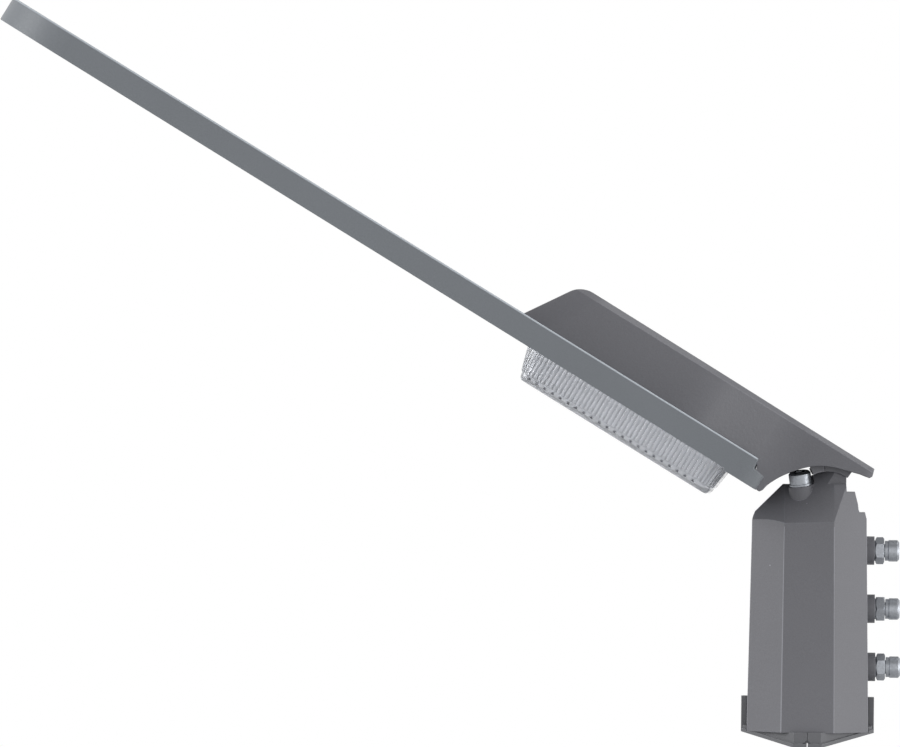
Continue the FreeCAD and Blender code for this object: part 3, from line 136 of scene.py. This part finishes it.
def painted_rim_highlight_mask(tree, facing, up):
    """1 where the normal leans away from the upward axis and from the sides, by its share along the axis; it
    places a painted highlight.
    """
    share = node(tree, "VectorMath", [facing, up], operation="DOT_PRODUCT").outputs["Value"]
    lean = math_node(tree, "ABSOLUTE", share)
    return math_node(tree, "MULTIPLY", map_range(tree, lean, (0.12, 0.3), (0.0, 1.0)),
                     map_range(tree, lean, (0.985, 0.94), (0.0, 1.0)))


def painted_facet_highlight_mask(tree, facing, place):
    """1 on the upright edges of an octagon, below its shoulder, where a highlight is painted."""
    normal = node(tree, "SeparateXYZ", [facing]).outputs
    heading = math_node(tree, "ARCTAN2", normal["Y"], normal["X"])
    wave = math_node(tree, "COSINE", math_node(tree, "MULTIPLY", heading, 8.0))
    between = map_range(tree, wave, (0.6, -0.2), (0.0, 1.0))
    level = math_node(tree, "LESS_THAN", math_node(tree, "ABSOLUTE", normal["Z"]), 0.3)
    height = node(tree, "SeparateXYZ", [place]).outputs["Z"]
    low = math_node(tree, "LESS_THAN", height, SHOULDER_LEVEL)
    return math_node(tree, "MULTIPLY", between, math_node(tree, "MULTIPLY", level, low))


# %% Coat group
def coat_group():
    """Colour = base x (1 + grain + drift + painted edge, rim and facet highlights + dust specks); height =
    coarse noise, for a Bump node.
    """
    tree, entry, leave = new_group(
        "powder_coat",
        [("Colour", "Color"), ("Speckle", "Float"), ("Grain", "Float"), ("Wave", "Float"),
         ("Edge Radius", "Float"), ("Painted Edge Highlight", "Float"), ("Dust", "Float"), ("Up", "Vector"),
         ("Painted Rim Highlight", "Float"), ("Painted Facet Highlight", "Float")],
        [("Colour", "Color"), ("Height", "Float"), ("Normal", "Vector")])
    own = node(tree, "TexCoord").outputs
    place, facing = own["Object"], own["Normal"]
    grain = node(tree, "TexNoise", named={"Vector": place, "Scale": entry["Grain"], "Detail": 2.0})
    drift = node(tree, "TexNoise", named={"Vector": place, "Scale": 11.0, "Detail": 2.0})
    wave = node(tree, "TexNoise", named={"Vector": place, "Scale": entry["Wave"], "Detail": 3.0})
    cells = node(tree, "TexVoronoi", named={"Vector": place, "Scale": 75.0})
    chance = node(tree, "SeparateColor", [cells.outputs["Color"]]).outputs[0]
    speck = math_node(tree, "MULTIPLY", math_node(tree, "LESS_THAN", cells.outputs["Distance"], 0.035),
                      math_node(tree, "GREATER_THAN", chance, 0.72))
    rounded = node(tree, "Bevel", named={"Radius": entry["Edge Radius"]}, samples=4).outputs["Normal"]
    true = node(tree, "NewGeometry").outputs["True Normal"]
    same = node(tree, "VectorMath", [rounded, true], operation="DOT_PRODUCT").outputs["Value"]
    # Where the rounded normal departs from the true one, a highlight is painted on the edge.
    edge = map_range(tree, same, (0.995, 0.93), (0.0, 1.0))
    gain = 1.0
    # The edge, rim and facet terms lighten the colour: painted highlights.
    for amount, share in ((math_node(tree, "SUBTRACT", grain.outputs["Fac"], 0.5), entry["Speckle"]),
                          (math_node(tree, "SUBTRACT", drift.outputs["Fac"], 0.5), 0.16),
                          (edge, entry["Painted Edge Highlight"]), (speck, entry["Dust"]),
                          (painted_rim_highlight_mask(tree, facing, entry["Up"]), entry["Painted Rim Highlight"]),
                          (painted_facet_highlight_mask(tree, facing, place), entry["Painted Facet Highlight"])):
        gain = math_node(tree, "MULTIPLY_ADD", amount, share, gain)
    tint = node(tree, "VectorMath", [entry["Colour"]], named={"Scale": gain}, operation="SCALE")
    for result, socket in zip((tint.outputs[0], wave.outputs["Fac"], rounded), leave.inputs):
        tree.links.new(result, socket)
    return tree


powder_coat = coat_group()
print("coat group sockets:", [item.name for item in powder_coat.interface.items_tree])


# %% Coated and moulded finishes
def coated(name, colour, roughness, speckle=0.35, grain=1400.0, wave=420.0, bump=0.35, edge=0.55,
           edge_radius=0.9, dust=1.6, rim=0.0, facets=0.0):
    """A dielectric finish whose colour, relief and rounded edges come from the coat group, with highlights
    painted along its edges.
    """
    material, tree, shader = new_material(name)
    shader.inputs["Roughness"].default_value = roughness
    shader.inputs["Specular IOR Level"].default_value = 0.4
    coat = node(tree, "Group", node_tree=powder_coat)
    set_inputs(coat, {"Colour": (*colour, 1.0), "Speckle": speckle, "Grain": grain, "Wave": wave,
                      "Edge Radius": edge_radius * MM, "Painted Edge Highlight": edge, "Dust": dust, "Up": CANOPY_UP,
                      "Painted Rim Highlight": rim, "Painted Facet Highlight": facets})
    relief = node(tree, "Bump", named={"Strength": bump, "Distance": 0.4 * MM,
                                       "Height": coat.outputs["Height"],
                                       "Normal": coat.outputs["Normal"]})
    tree.links.new(coat.outputs["Colour"], shader.inputs["Base Color"])
    tree.links.new(relief.outputs["Normal"], shader.inputs["Normal"])
    return material


CASTING_COLOUR = (0.150, 0.151, 0.166)
# The canopy's coat has its own tint and a highlight painted along its rounded rim.
canopy_grey_painted_rim = coated("canopy_grey_painted_rim", (0.168, 0.182, 0.199), 0.43, rim=1.5)
casting_grey = coated("casting_grey", CASTING_COLOUR, 0.45)
# The spigot's coat is the casting's, with highlights painted on the octagon's upright edges.
spigot_grey_painted_facets = coated("spigot_grey_painted_facets", CASTING_COLOUR, 0.45, facets=0.7)
collar_grey = coated("collar_grey", (0.132, 0.134, 0.144), 0.55, speckle=0.2, wave=900.0, dust=0.8)
seal_rubber = coated("black_seal", (0.022, 0.022, 0.024), 0.62, speckle=0.5, grain=700.0, dust=0.0,
                     edge=0.8, edge_radius=0.3)
gear_case = coated("gear_case", (0.60, 0.61, 0.62), 0.48, speckle=0.12, wave=1500.0, dust=0.0,
                   edge=0.1, edge_radius=0.6)

# %% [markdown]
# ## Metals
# The screws, nuts and washers are zinc plated: a soft shine with a faint mottle. The tray and the heat
# spreader are rolled aluminium, whose grain runs along the sheet, so its noise is drawn out in that
# direction by the Mapping node. One group serves both, with the draw given as three numbers.


# %% Metal group
def metal_group():
    """Colour and roughness = base x (1 + spread x (noise - 0.5)); the noise is drawn out by Draw."""
    tree, entry, leave = new_group(
        "metal_grain",
        [("Colour", "Color"), ("Roughness", "Float"), ("Spread", "Float"), ("Draw", "Vector")],
        [("Colour", "Color"), ("Roughness", "Float"), ("Height", "Float")])
    place = node(tree, "TexCoord").outputs["Object"]
    drawn = node(tree, "Mapping", named={"Vector": place, "Rotation": (0.0, TILT, 0.0),
                                         "Scale": entry["Draw"]}, vector_type="POINT").outputs[0]
    mottle = node(tree, "TexNoise", named={"Vector": drawn, "Scale": 1.0, "Detail": 4.0}).outputs["Fac"]
    swing = math_node(tree, "MULTIPLY", math_node(tree, "SUBTRACT", mottle, 0.5), entry["Spread"])
    gain = math_node(tree, "ADD", swing, 1.0)
    tint = node(tree, "VectorMath", [entry["Colour"]], named={"Scale": gain}, operation="SCALE")
    rough = math_node(tree, "MULTIPLY", entry["Roughness"],
                      math_node(tree, "MULTIPLY_ADD", swing, -1.5, 1.0))
    for result, socket in zip((tint.outputs[0], rough, mottle), leave.inputs):
        tree.links.new(result, socket)
    return tree


metal_grain = metal_group()


def metal(name, colour, roughness, spread, draw, bump=0.15):
    """A metal whose colour and roughness come from the metal group."""
    material, tree, shader = new_material(name)
    shader.inputs["Metallic"].default_value = 1.0
    grain = node(tree, "Group", node_tree=metal_grain)
    set_inputs(grain, {"Colour": (*colour, 1.0), "Roughness": roughness, "Spread": spread, "Draw": draw})
    soft = node(tree, "Bevel", named={"Radius": 0.5 * MM}, samples=4)
    relief = node(tree, "Bump", named={"Strength": bump, "Distance": 0.1 * MM,
                                       "Height": grain.outputs["Height"], "Normal": soft.outputs[0]})
    tree.links.new(grain.outputs["Colour"], shader.inputs["Base Color"])
    tree.links.new(grain.outputs["Roughness"], shader.inputs["Roughness"])
    tree.links.new(relief.outputs["Normal"], shader.inputs["Normal"])
    return material


zinc = metal("bright_zinc", (0.42, 0.44, 0.475), 0.45, 0.5, (700.0, 700.0, 700.0))
bare_aluminium = metal("bare_aluminium", (0.72, 0.73, 0.74), 0.38, 0.3, (60.0, 1500.0, 1500.0))

# %% [markdown]
# ## The LED board and the clear plastic
# The board is white, and each package on it is topped with yellow phosphor. The packages are part of the
# board's own solid, so one material serves both: it turns Object coordinates into the head's level frame
# and colours what stands below the board's face. The clear plastic lets light through with a slight haze:
# its roughness varies a little, and it tints what is seen through it. The fluted walls scatter part of the
# light, so their plastic is milky by a quarter. Light that enters near a groove is bent away and lost; a
# value stored on the mesh stands for it and darkens the tint there, which is painted shade.

# %% Head frame
PIVOT = Vector((0.0138, 0.0, 0.1688))
head_frame = Matrix.Translation(PIVOT) @ Matrix.Rotation(TILT, 4, "Y")


def head_levels(piece):
    """Distances of a piece's corners along the head's own upward axis, each level once, in millimetres."""
    flat = np.empty(len(piece.data.vertices) * 3)
    piece.data.vertices.foreach_get("co", flat)
    upward = np.array(head_frame)[:3, 2]
    levels = (flat.reshape(-1, 3) - np.array(PIVOT)) @ upward / MM
    return np.unique(np.round(levels, 2))


# %% Board and lens plastic
def board_finish(level):
    """White above the level in the head frame, yellow below it."""
    material, tree, shader = new_material("led_board_finish")
    place = node(tree, "TexCoord").outputs["Object"]
    local = node(tree, "Mapping", named={"Vector": place, "Location": tuple(PIVOT),
                                         "Rotation": (0.0, TILT, 0.0)}, vector_type="TEXTURE")
    height = node(tree, "SeparateXYZ", [local.outputs[0]]).outputs["Z"]
    below = math_node(tree, "LESS_THAN", height, level * MM)
    grain = node(tree, "TexNoise", named={"Vector": place, "Scale": 900.0, "Detail": 2.0}).outputs["Fac"]
    white = node(tree, "ValToRGB", [grain])
    white.color_ramp.elements[0].color = (0.72, 0.73, 0.70, 1.0)
    white.color_ramp.elements[1].color = (0.86, 0.87, 0.84, 1.0)
    mixed = node(tree, "MixRGB", [below, white.outputs["Color"], (0.86, 0.62, 0.08, 1.0)])
    tree.links.new(mixed.outputs[0], shader.inputs["Base Color"])
    tree.links.new(map_range(tree, grain, (0.0, 1.0), (0.28, 0.5)), shader.inputs["Roughness"])
    return material


def clear_plastic(name, colour, haze, transmission, shaded=False):
    """Clear plastic: a share of transmission, a roughness that varies with fine noise, and a tint.

    Where shaded, the tint runs from dark to the colour by a value stored on the mesh: painted shade.
    """
    material, tree, shader = new_material(name)
    shader.inputs["Base Color"].default_value = (*colour, 1.0)
    shader.inputs["Transmission Weight"].default_value = transmission
    shader.inputs["IOR"].default_value = 1.49
    place = node(tree, "TexCoord").outputs["Object"]
    cloud = node(tree, "TexNoise", named={"Vector": place, "Scale": 260.0, "Detail": 3.0}).outputs["Fac"]
    rough = map_range(tree, cloud, (0.3, 0.7), (haze * 0.4, haze))
    if shaded:
        # The dark end of the tint is painted shade.
        shade = node(tree, "Attribute", attribute_name="painted_light_share").outputs["Fac"]
        tint = node(tree, "ValToRGB", [shade])
        tint.color_ramp.elements[0].color = (0.05, 0.05, 0.07, 1.0)
        tint.color_ramp.elements[1].color = (*colour, 1.0)
        tree.links.new(tint.outputs["Color"], shader.inputs["Base Color"])
    ripple = node(tree, "Bump", named={"Strength": 0.2, "Distance": 0.15 * MM, "Height": cloud})
    tree.links.new(rough, shader.inputs["Roughness"])
    tree.links.new(ripple.outputs["Normal"], shader.inputs["Normal"])
    return material


board_levels = head_levels(nodes["led_board"])
print("levels of the LED board:", board_levels[:4], "...", board_levels[-1])
board_white = board_finish(float(board_levels[:2].mean()))
clear_lens = clear_plastic("clear_lens", (0.93, 0.935, 0.96), haze=0.14, transmission=1.0)
# The fluted lens takes painted shade from the value stored on its mesh.
fluted_lens = clear_plastic("fluted_lens", (0.94, 0.96, 1.0), haze=0.14, transmission=0.72, shaded=True)

# %% Hand the finishes out
FINISHES = {"powder_grey": casting_grey, "collar_grey": collar_grey, "zinc": zinc,
            "seal_rubber": seal_rubber, "clear_lens": clear_lens, "bare_aluminium": bare_aluminium,
            "board_white": board_white, "gear_case": gear_case}
for entry in frame["record"]["subparts"]:
    piece = nodes[entry["node"]]
    piece.data.materials.clear()
    piece.data.materials.append(FINISHES[entry["material_slot"]])
OWN_FINISHES = {"canopy_plate": canopy_grey_painted_rim, "spigot_casting": spigot_grey_painted_facets}
for name, finish in OWN_FINISHES.items():
    nodes[name].data.materials[0] = finish
print("finishes:", len(FINISHES) + len(OWN_FINISHES))

# %% [markdown]
# ## The clear lens
# The lens is moulded in clear plastic. Its walls are fluted: upright half-round ribs a few millimetres
# wide break up the light, and end in rounded tips above a smooth band with a row of small dimples. The
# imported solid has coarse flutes, so a finer surface takes its place. It is one closed sheet: a path runs
# from the middle of the underside out and up the wall, over the flange, and down the inside to the middle
# again, and it is carried round a rounded rectangle. The flutes are a wave along the way round, added to
# the outer wall only. It is worked out in the head's own level frame and then tilted with the head.


# %% From grid to piece
def piece_from_grid(name, grid, material, frame_turn=head_frame, smooth=True, painted_light_share=None):
    """A closed piece from an array rows x columns x 3, in millimetres, in the frame that is given.

    Quads join neighbours; the columns close on themselves, and the first and last row are poles, whose
    points are merged into one. A value for each point may be stored on the mesh under its name.
    """
    rows, columns = grid.shape[:2]
    row, column = np.meshgrid(np.arange(rows - 1), np.arange(columns), indexing="ij")
    beside = (column + 1) % columns
    quads = np.stack([row * columns + column, row * columns + beside,
                      (row + 1) * columns + beside, (row + 1) * columns + column], axis=-1)
    turn = np.array(frame_turn)
    placed = grid.reshape(-1, 3) * MM @ turn[:3, :3].T + turn[:3, 3]
    mesh = bpy.data.meshes.new(name)
    mesh.from_pydata(placed.tolist(), [], quads.reshape(-1, 4).tolist())
    if painted_light_share is not None:
        mesh.attributes.new("painted_light_share", "FLOAT", "POINT").data.foreach_set("value", painted_light_share.ravel())
    build = bmesh.new()
    build.from_mesh(mesh)
    bmesh.ops.remove_doubles(build, verts=build.verts, dist=0.000001)
    build.to_mesh(mesh)
    build.free()
    mesh.polygons.foreach_set("use_smooth", np.full(len(mesh.polygons), smooth))
    mesh.materials.append(material)
    mesh.update()
    thing = bpy.data.objects.new(name, mesh)
    bpy.context.scene.collection.objects.link(thing)
    return thing


# %% Way round the lens
LENS_CENTRE = -162.0
LENS_SIDES = (85.65, 99.95)
LENS_CORNER = 12.0
FLUTE_PITCH = 3.35
POINTS_PER_FLUTE = 8
FLUTES_PER_CORNER = 6


def way_round(sides, corner):
    """Points, outward normals and distance to the nearest end of a run, for a rounded rectangle.

    Each side is a straight run at a constant normal; each corner turns the normal by a quarter circle
    while the point follows centre + radius x normal. Each holds a whole number of flutes.
    """
    half_x, half_y = sides[0] - corner, sides[1] - corner
    middles = np.array([[half_x, -half_y], [half_x, half_y], [-half_x, half_y], [-half_x, -half_y]])
    lengths = np.array([2 * half_y, 2 * half_x, 2 * half_y, 2 * half_x])
    points, normals, to_end = [], [], []
    for index, length in enumerate(lengths):
        begin, finish = middles[index], middles[(index + 1) % 4]
        count = int(round(length / FLUTE_PITCH)) * POINTS_PER_FLUTE
        share = np.linspace(0.0, 1.0, count, endpoint=False)
        heading = index * np.pi / 2
        normal = np.array([np.cos(heading), np.sin(heading)])
        points.append(begin + (finish - begin) * share[:, None] + corner * normal)
        normals.append(np.repeat(normal[None, :], count, axis=0))
        to_end.append(np.minimum(share, 1 - share) * length)
        share = np.linspace(0.0, 1.0, FLUTES_PER_CORNER * POINTS_PER_FLUTE, endpoint=False)
        bend = heading + share * np.pi / 2
        turned = np.stack([np.cos(bend), np.sin(bend)], axis=1)
        points.append(finish + corner * turned)
        normals.append(turned)
        to_end.append(np.minimum(share, 1 - share) * corner * np.pi / 2)
    return np.concatenate(points), np.concatenate(normals), np.concatenate(to_end)


round_points, round_normals, run_end = way_round(LENS_SIDES, LENS_CORNER)
print("points round the lens:", len(round_points))

# %% Section of the lens
FLANGE_TOP, LENS_TOP, LENS_BOTTOM = -12.4, -15.4, -41.0
FLANGE_WIDTH = 8.7
LENS_WALL = 3.0
EDGE = 2.4
FLUTE_END = LENS_BOTTOM + 8.0
FLUTE_LEVELS = (-30.0, -27.0, -24.0, -21.0, -19.9, -19.7, -17.0, LENS_TOP - 0.4)
DIMPLE_LEVEL = LENS_BOTTOM + 3.9
DIMPLE_ROWS = ((-1.1, 0.0), (-0.6, 0.6), (0.0, 1.0), (0.6, 0.6), (1.1, 0.0))
TIP_ROWS = ((-2.4, 0.0), (-2.2, 0.45), (-1.8, 0.72), (-1.1, 0.92), (0.0, 1.0))


def lens_section():
    """Rows of (offset outwards, level, scale towards the middle, flute share, dimple share)."""
    quarter = np.linspace(0.0, np.pi / 2, 6)
    rows = [(-EDGE, LENS_BOTTOM, scale, 0.0, 0.0) for scale in (0.0, 0.1, 0.45, 0.8, 1.0)]
    rows += [(-EDGE * (1 - math.sin(b)), LENS_BOTTOM + EDGE * (1 - math.cos(b)), 1.0, 0.0, 0.0)
             for b in quarter[1:]]
    rows += [(0.0, DIMPLE_LEVEL + step, 1.0, 0.0, share) for step, share in DIMPLE_ROWS]
    rows += [(0.0, FLUTE_END + step, 1.0, share, 0.0) for step, share in TIP_ROWS]
    rows += [(0.0, level, 1.0, 1.0, 0.0) for level in FLUTE_LEVELS]
    rows += [(0.3, LENS_TOP, 1.0, 0.0, 0.0), (FLANGE_WIDTH, LENS_TOP, 1.0, 0.0, 0.0),
             (FLANGE_WIDTH, FLANGE_TOP, 1.0, 0.0, 0.0)]
    floor = LENS_BOTTOM + LENS_WALL
    rows += [(-LENS_WALL, level, 1.0, 0.0, 0.0) for level in np.linspace(FLANGE_TOP, floor + 2.0, 5)]
    rows += [(-LENS_WALL - 2.0, floor, scale, 0.0, 0.0) for scale in (1.0, 0.8, 0.45, 0.1, 0.0)]
    return np.array(rows)


# %% Sweep the section round
FLUTE_HEIGHT = 0.95
PIT_DEPTH, PIT_WIDTH = 1.1, 1.15
DRAFT_FRONT, DRAFT_END, DRAFT_SIDE = 7.7, 3.2, 3.6
LEDGE_LEVEL = -19.8


def swept_lens():
    """Grid of section x way round, and the share of painted light at each point.

    The draft draws a point inwards by its share of the depth times the draft of the side it faces; in a
    corner the drafts are weighed by the square of the normal. A flute is half a circle, flattened, across
    its pitch. A dimple is a bell curve across every second flute of the straight sides. Shade is painted
    into the plastic's tint in the grooves, more so towards the bottom, in the dimples and along the lower
    edge.
    """
    offset, level, scale, flute, dimple = lens_section().T
    across, along = round_normals[:, 0], round_normals[:, 1]
    draft = across ** 2 * np.where(across > 0, DRAFT_END, DRAFT_FRONT) + along ** 2 * DRAFT_SIDE
    depth = np.clip((LENS_TOP - level) / (LENS_TOP - LENS_BOTTOM), 0.0, 1.0)
    index = np.arange(len(round_points))
    phase = index % POINTS_PER_FLUTE / POINTS_PER_FLUTE
    crown = np.sqrt(np.clip(1.0 - (2.0 * phase - 1.0) ** 2, 0.0, 1.0))
    height = FLUTE_HEIGHT * crown * np.clip((run_end - 0.7) / 0.8, 0.0, 1.0)
    every_other = ((index // POINTS_PER_FLUTE) % 2 == 0) & (np.abs(across * along) < 1e-6)
    pit = np.where(every_other, np.exp(-((phase - 0.5) * FLUTE_PITCH / PIT_WIDTH) ** 2), 0.0)
    out = (offset[:, None] - depth[:, None] * draft[None, :] + flute[:, None] * height[None, :]
           - PIT_DEPTH * dimple[:, None] * pit[None, :])
    plan = (round_points[None, :, :] + out[:, :, None] * round_normals[None, :, :]) * scale[:, None, None]
    grid = np.empty((len(level), len(round_points), 3))
    grid[:, :, :2] = plan + np.array([LENS_CENTRE, 0.0])
    grid[:, :, 2] = level[:, None]
    # Painted shade: darker in the grooves, more so towards the bottom, and in the dimples.
    groove = flute[:, None] * (1.0 - crown * np.clip(run_end / 0.8, 0.0, 1.0))[None, :]
    rise = np.clip((depth - 0.12) / 0.55, 0.0, 1.0)
    painted_light_share = (0.90 + 0.1 * rise[:, None] - (0.12 + 0.38 * rise)[:, None] * groove
                 - dimple[:, None] * pit[None, :])
    # The ledge band is left at full light, a little brighter than the wall: a painted highlight.
    painted_light_share[(level > LEDGE_LEVEL) & (level < LENS_TOP)] = 1.0
    # Painted shade along the lower edge.
    painted_light_share[(level < LENS_BOTTOM + 0.3) & (scale > 0.9)] = 0.25
    return grid, painted_light_share


lens_grid, lens_painted_light_share = swept_lens()
lens_shell = piece_from_grid("lens_shell", lens_grid, fluted_lens, painted_light_share=lens_painted_light_share)
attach(lens_shell, "head")
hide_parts("ribbed_lens")
print("lens faces:", len(lens_shell.data.polygons))

# %% [markdown]
# ## Lock nuts
# Each clamp screw is held by a thin hexagon nut on a round seat. The outer nuts show the camera a flat, and
# the middle one an edge. A hexagon is a circle whose radius grows with the angle from the middle of a flat
# by one over the cosine, and the bevel takes off height in proportion to how far the radius passes that of
# the flats, which gives the curved line where bevel and flat meet. They replace the plain solids.

# %% Nut surface
NUT_HALF, NUT_HEIGHT, NUT_SEAT, NUT_BORE = 8.7, 7.3, 0.8, 5.1
SEAT_INSET, BORE_CUT, BEVEL_SLOPE = 1.0, 0.7, 0.62


def nut_grid(first_flat, columns=96):
    """Rows of (radius, height) go from the bore along the seat, over the flats and back; the axis is x."""
    angle = np.linspace(0.0, 2 * np.pi, columns, endpoint=False)
    corner = (angle - first_flat + np.pi / 6) % (np.pi / 3) - np.pi / 6
    reach = NUT_HALF / np.cos(corner)
    bevel = (reach - NUT_HALF) * BEVEL_SLOPE + 0.05
    rows = [(NUT_BORE, 0.0), (NUT_HALF - SEAT_INSET, 0.0), (NUT_HALF - SEAT_INSET, NUT_SEAT),
            (NUT_HALF * 0.995, NUT_SEAT), (reach, NUT_SEAT + bevel), (reach, NUT_HEIGHT - bevel),
            (NUT_HALF * 0.995, NUT_HEIGHT), (NUT_BORE + BORE_CUT, NUT_HEIGHT),
            (NUT_BORE, NUT_HEIGHT - BORE_CUT), (NUT_BORE, 0.0)]
    radius, along = (np.array([np.broadcast_to(row[part], columns) for row in rows]) for part in (0, 1))
    return np.stack([along, radius * np.cos(angle), radius * np.sin(angle)], axis=-1)


# %% Three nuts
for number, first_flat in ((1, 0.0), (2, np.pi / 6), (3, 0.0)):
    low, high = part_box("lock_nut_%d" % number)
    seat = Vector((low[0], (low[1] + high[1]) / 2, (low[2] + high[2]) / 2))
    nut = piece_from_grid("nut_%d" % number, nut_grid(first_flat), zinc, Matrix.Translation(seat), False)
    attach(nut, "spigot")
    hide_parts("lock_nut_%d" % number)
print("nuts: 3, seat of the last at x = %.1f mm" % (seat.x / MM))

# %% [markdown]
# ## Aprons beside the neck
# The saddle under the arm reaches down beside the neck, and from the side it closes the view through the
# joint. These two thin aprons carry its side on towards the tilt screw, just outside the screw's head. Each
# is a slice of a ring about the tilt axis, so it slides past the neck when the head tilts.

# %% Apron surface
APRON_RADII = (24.2, 31.0)
APRON_SIDES = (32.6, 35.2)
APRON_SWING = (38.2, 58.0)
APRON_BEVEL = 0.4


def apron_grid(side, steps=16):
    """A rectangle with bevelled corners, carried by an angle from the top of the neck to the front."""
    inner, outer = APRON_RADII
    near, far = APRON_SIDES
    cut = APRON_BEVEL
    loop = np.array([(inner + cut, near), (outer - cut, near), (outer, near + cut), (outer, far - cut),
                     (outer - cut, far), (inner + cut, far), (inner, far - cut), (inner, near + cut)])
    middle = loop.mean(axis=0)
    swings = np.radians(np.linspace(*APRON_SWING, steps))
    rows = np.concatenate([[swings[0]], swings, [swings[-1]]])
    share = np.array([0.0] + [1.0] * steps + [0.0])
    section = middle + (loop - middle)[None, :, :] * share[:, None, None]
    radius, depth = section[:, :, 0], section[:, :, 1]
    grid = np.stack([-radius * np.sin(rows)[:, None], side * depth, radius * np.cos(rows)[:, None]], axis=-1)
    return grid if side > 0 else grid[:, ::-1]


# %% Two aprons
for side, tag in ((-1, "front"), (1, "back")):
    apron = piece_from_grid("saddle_apron_" + tag, apron_grid(side), casting_grey, smooth=False)
    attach(apron, "head")

# %% [markdown]
# ## Camera
# The canopy is seen edge-on, so the camera stands in its plane, about 5 m away and square to the object's
# side. It turns towards the middle of the object and leans a little. Its axes are worked out from where
# the depth direction vanishes and how far the spigot leans in the picture.

# %% Camera
WIDTH, HEIGHT = 900, 747
FOCAL_PX = 6780.0
VANISH = (807.0, 488.0)
LEAN = math.radians(0.57)
EYE = Vector((-0.0020, -5.052, 0.1806))


def camera_matrix():
    """Rows are the world's axes seen from the camera; depth points away from it."""
    depth = Vector(((VANISH[0] - WIDTH / 2) / FOCAL_PX, -(VANISH[1] - HEIGHT / 2) / FOCAL_PX, -1.0))
    depth.normalize()
    up = Vector((math.sin(LEAN), math.cos(LEAN), 0.0))
    up = (up - depth * up.dot(depth)).normalized()
    right = depth.cross(up)
    return Matrix((right, depth, up)).to_4x4()


camera = bpy.data.objects.new("camera", bpy.data.cameras.new("camera"))
bpy.context.scene.collection.objects.link(camera)
camera.data.sensor_width = 36.0
camera.data.lens = FOCAL_PX * camera.data.sensor_width / WIDTH
camera.data.clip_start, camera.data.clip_end = 0.1, 60.0
camera.matrix_world = Matrix.Translation(EYE) @ camera_matrix()
bpy.context.scene.camera = camera
print("lens in mm: %.1f" % camera.data.lens)

# %% [markdown]
# ## Light and floor
# The object hangs in a bright plain room, with a pale floor three and a half metres below it, as far as the
# foot of a low lamp post. To the camera, and through the lens, room and floor are plain white. Shiny metal
# sees them too, white at the height of the object and duller overhead and underfoot, which gives a screw
# its light and dark facets. As a light, the room is even from the side and weaker overhead, and large soft
# lamps add the shading: one at each side, which makes the slanting faces of the octagon lighter than its
# front, and one above and behind, which draws a bright line along the upper edges.


# %% Room and floor
def room(light_level):
    """Strength: 1 for camera and lens, a band round the horizon for metal, and less overhead as a light."""
    world = bpy.data.worlds.new("room")
    bpy.context.scene.world = world
    world.use_nodes = True
    tree = world.node_tree
    sky = tree.nodes["Background"]
    rays = node(tree, "LightPath").outputs
    way = node(tree, "TexCoord").outputs["Generated"]
    up = node(tree, "SeparateXYZ", [way]).outputs["Z"]
    band = map_range(tree, math_node(tree, "ABSOLUTE", up), (0.25, 0.85), (1.0, 0.3),
                     interpolation_type="SMOOTHSTEP")
    light = map_range(tree, up, (-0.1, 0.9), (light_level, light_level * 0.45))
    shine = node(tree, "Mix", [rays["Is Glossy Ray"], None, light, band])
    seen = math_node(tree, "MAXIMUM", rays["Is Camera Ray"], rays["Is Transmission Ray"])
    whole = node(tree, "Mix", [seen, None, shine.outputs[0], 1.0])
    tree.links.new(whole.outputs[0], sky.inputs["Strength"])
    sky.inputs["Color"].default_value = (1.0, 1.0, 1.0, 1.0)


def pale_floor(depth, reach):
    """A level square far below; white to the camera and the lens, and to metal where it is far away."""
    material, tree, matt = new_material("pale_floor")
    matt.inputs["Base Color"].default_value = (0.72, 0.72, 0.72, 1.0)
    matt.inputs["Roughness"].default_value = 0.9
    rays = node(tree, "LightPath").outputs
    place = node(tree, "TexCoord").outputs["Object"]
    away = node(tree, "VectorMath", [place], operation="LENGTH").outputs["Value"]
    far = map_range(tree, away, (4.0, 14.0), (0.0, 1.0))
    shine = math_node(tree, "MULTIPLY", rays["Is Glossy Ray"], far)
    seen = math_node(tree, "MAXIMUM", rays["Is Camera Ray"], rays["Is Transmission Ray"])
    glow = node(tree, "Emission", [(1.0, 1.0, 1.0, 1.0), 1.0])
    mixed = node(tree, "MixShader", [math_node(tree, "MAXIMUM", seen, shine),
                                     matt.outputs[0], glow.outputs[0]])
    tree.links.new(mixed.outputs[0], tree.nodes["Material Output"].inputs["Surface"])
    corners = np.array([[-1, -1, 0], [1, -1, 0], [1, 1, 0], [-1, 1, 0]]) * reach
    corners[:, 2] = -depth
    mesh = bpy.data.meshes.new("floor")
    mesh.from_pydata(corners.tolist(), [], [(0, 1, 2, 3)])
    mesh.materials.append(material)
    thing = bpy.data.objects.new("floor", mesh)
    bpy.context.scene.collection.objects.link(thing)


room(1.2)
pale_floor(3.5, 40.0)


# %% Lamps
def soft_lamp(name, place, target, side, watts):
    """A square area lamp at a place, turned to a target."""
    lamp = bpy.data.lights.new(name, "AREA")
    lamp.size, lamp.energy = side, watts
    thing = bpy.data.objects.new(name, lamp)
    bpy.context.scene.collection.objects.link(thing)
    heading = Vector(target) - Vector(place)
    thing.matrix_world = Matrix.Translation(place) @ heading.to_track_quat("-Z", "Y").to_matrix().to_4x4()


MIDDLE = (-0.2, 0.0, 0.25)
soft_lamp("left", (-2.7, -0.75, 1.1), MIDDLE, 1.5, 34.0)
soft_lamp("right", (2.6, -0.7, 0.1), MIDDLE, 1.5, 25.0)
soft_lamp("above", (1.1, 0.1, 2.5), MIDDLE, 0.5, 12.0)
bpy.context.scene.view_settings.view_transform = "Standard"
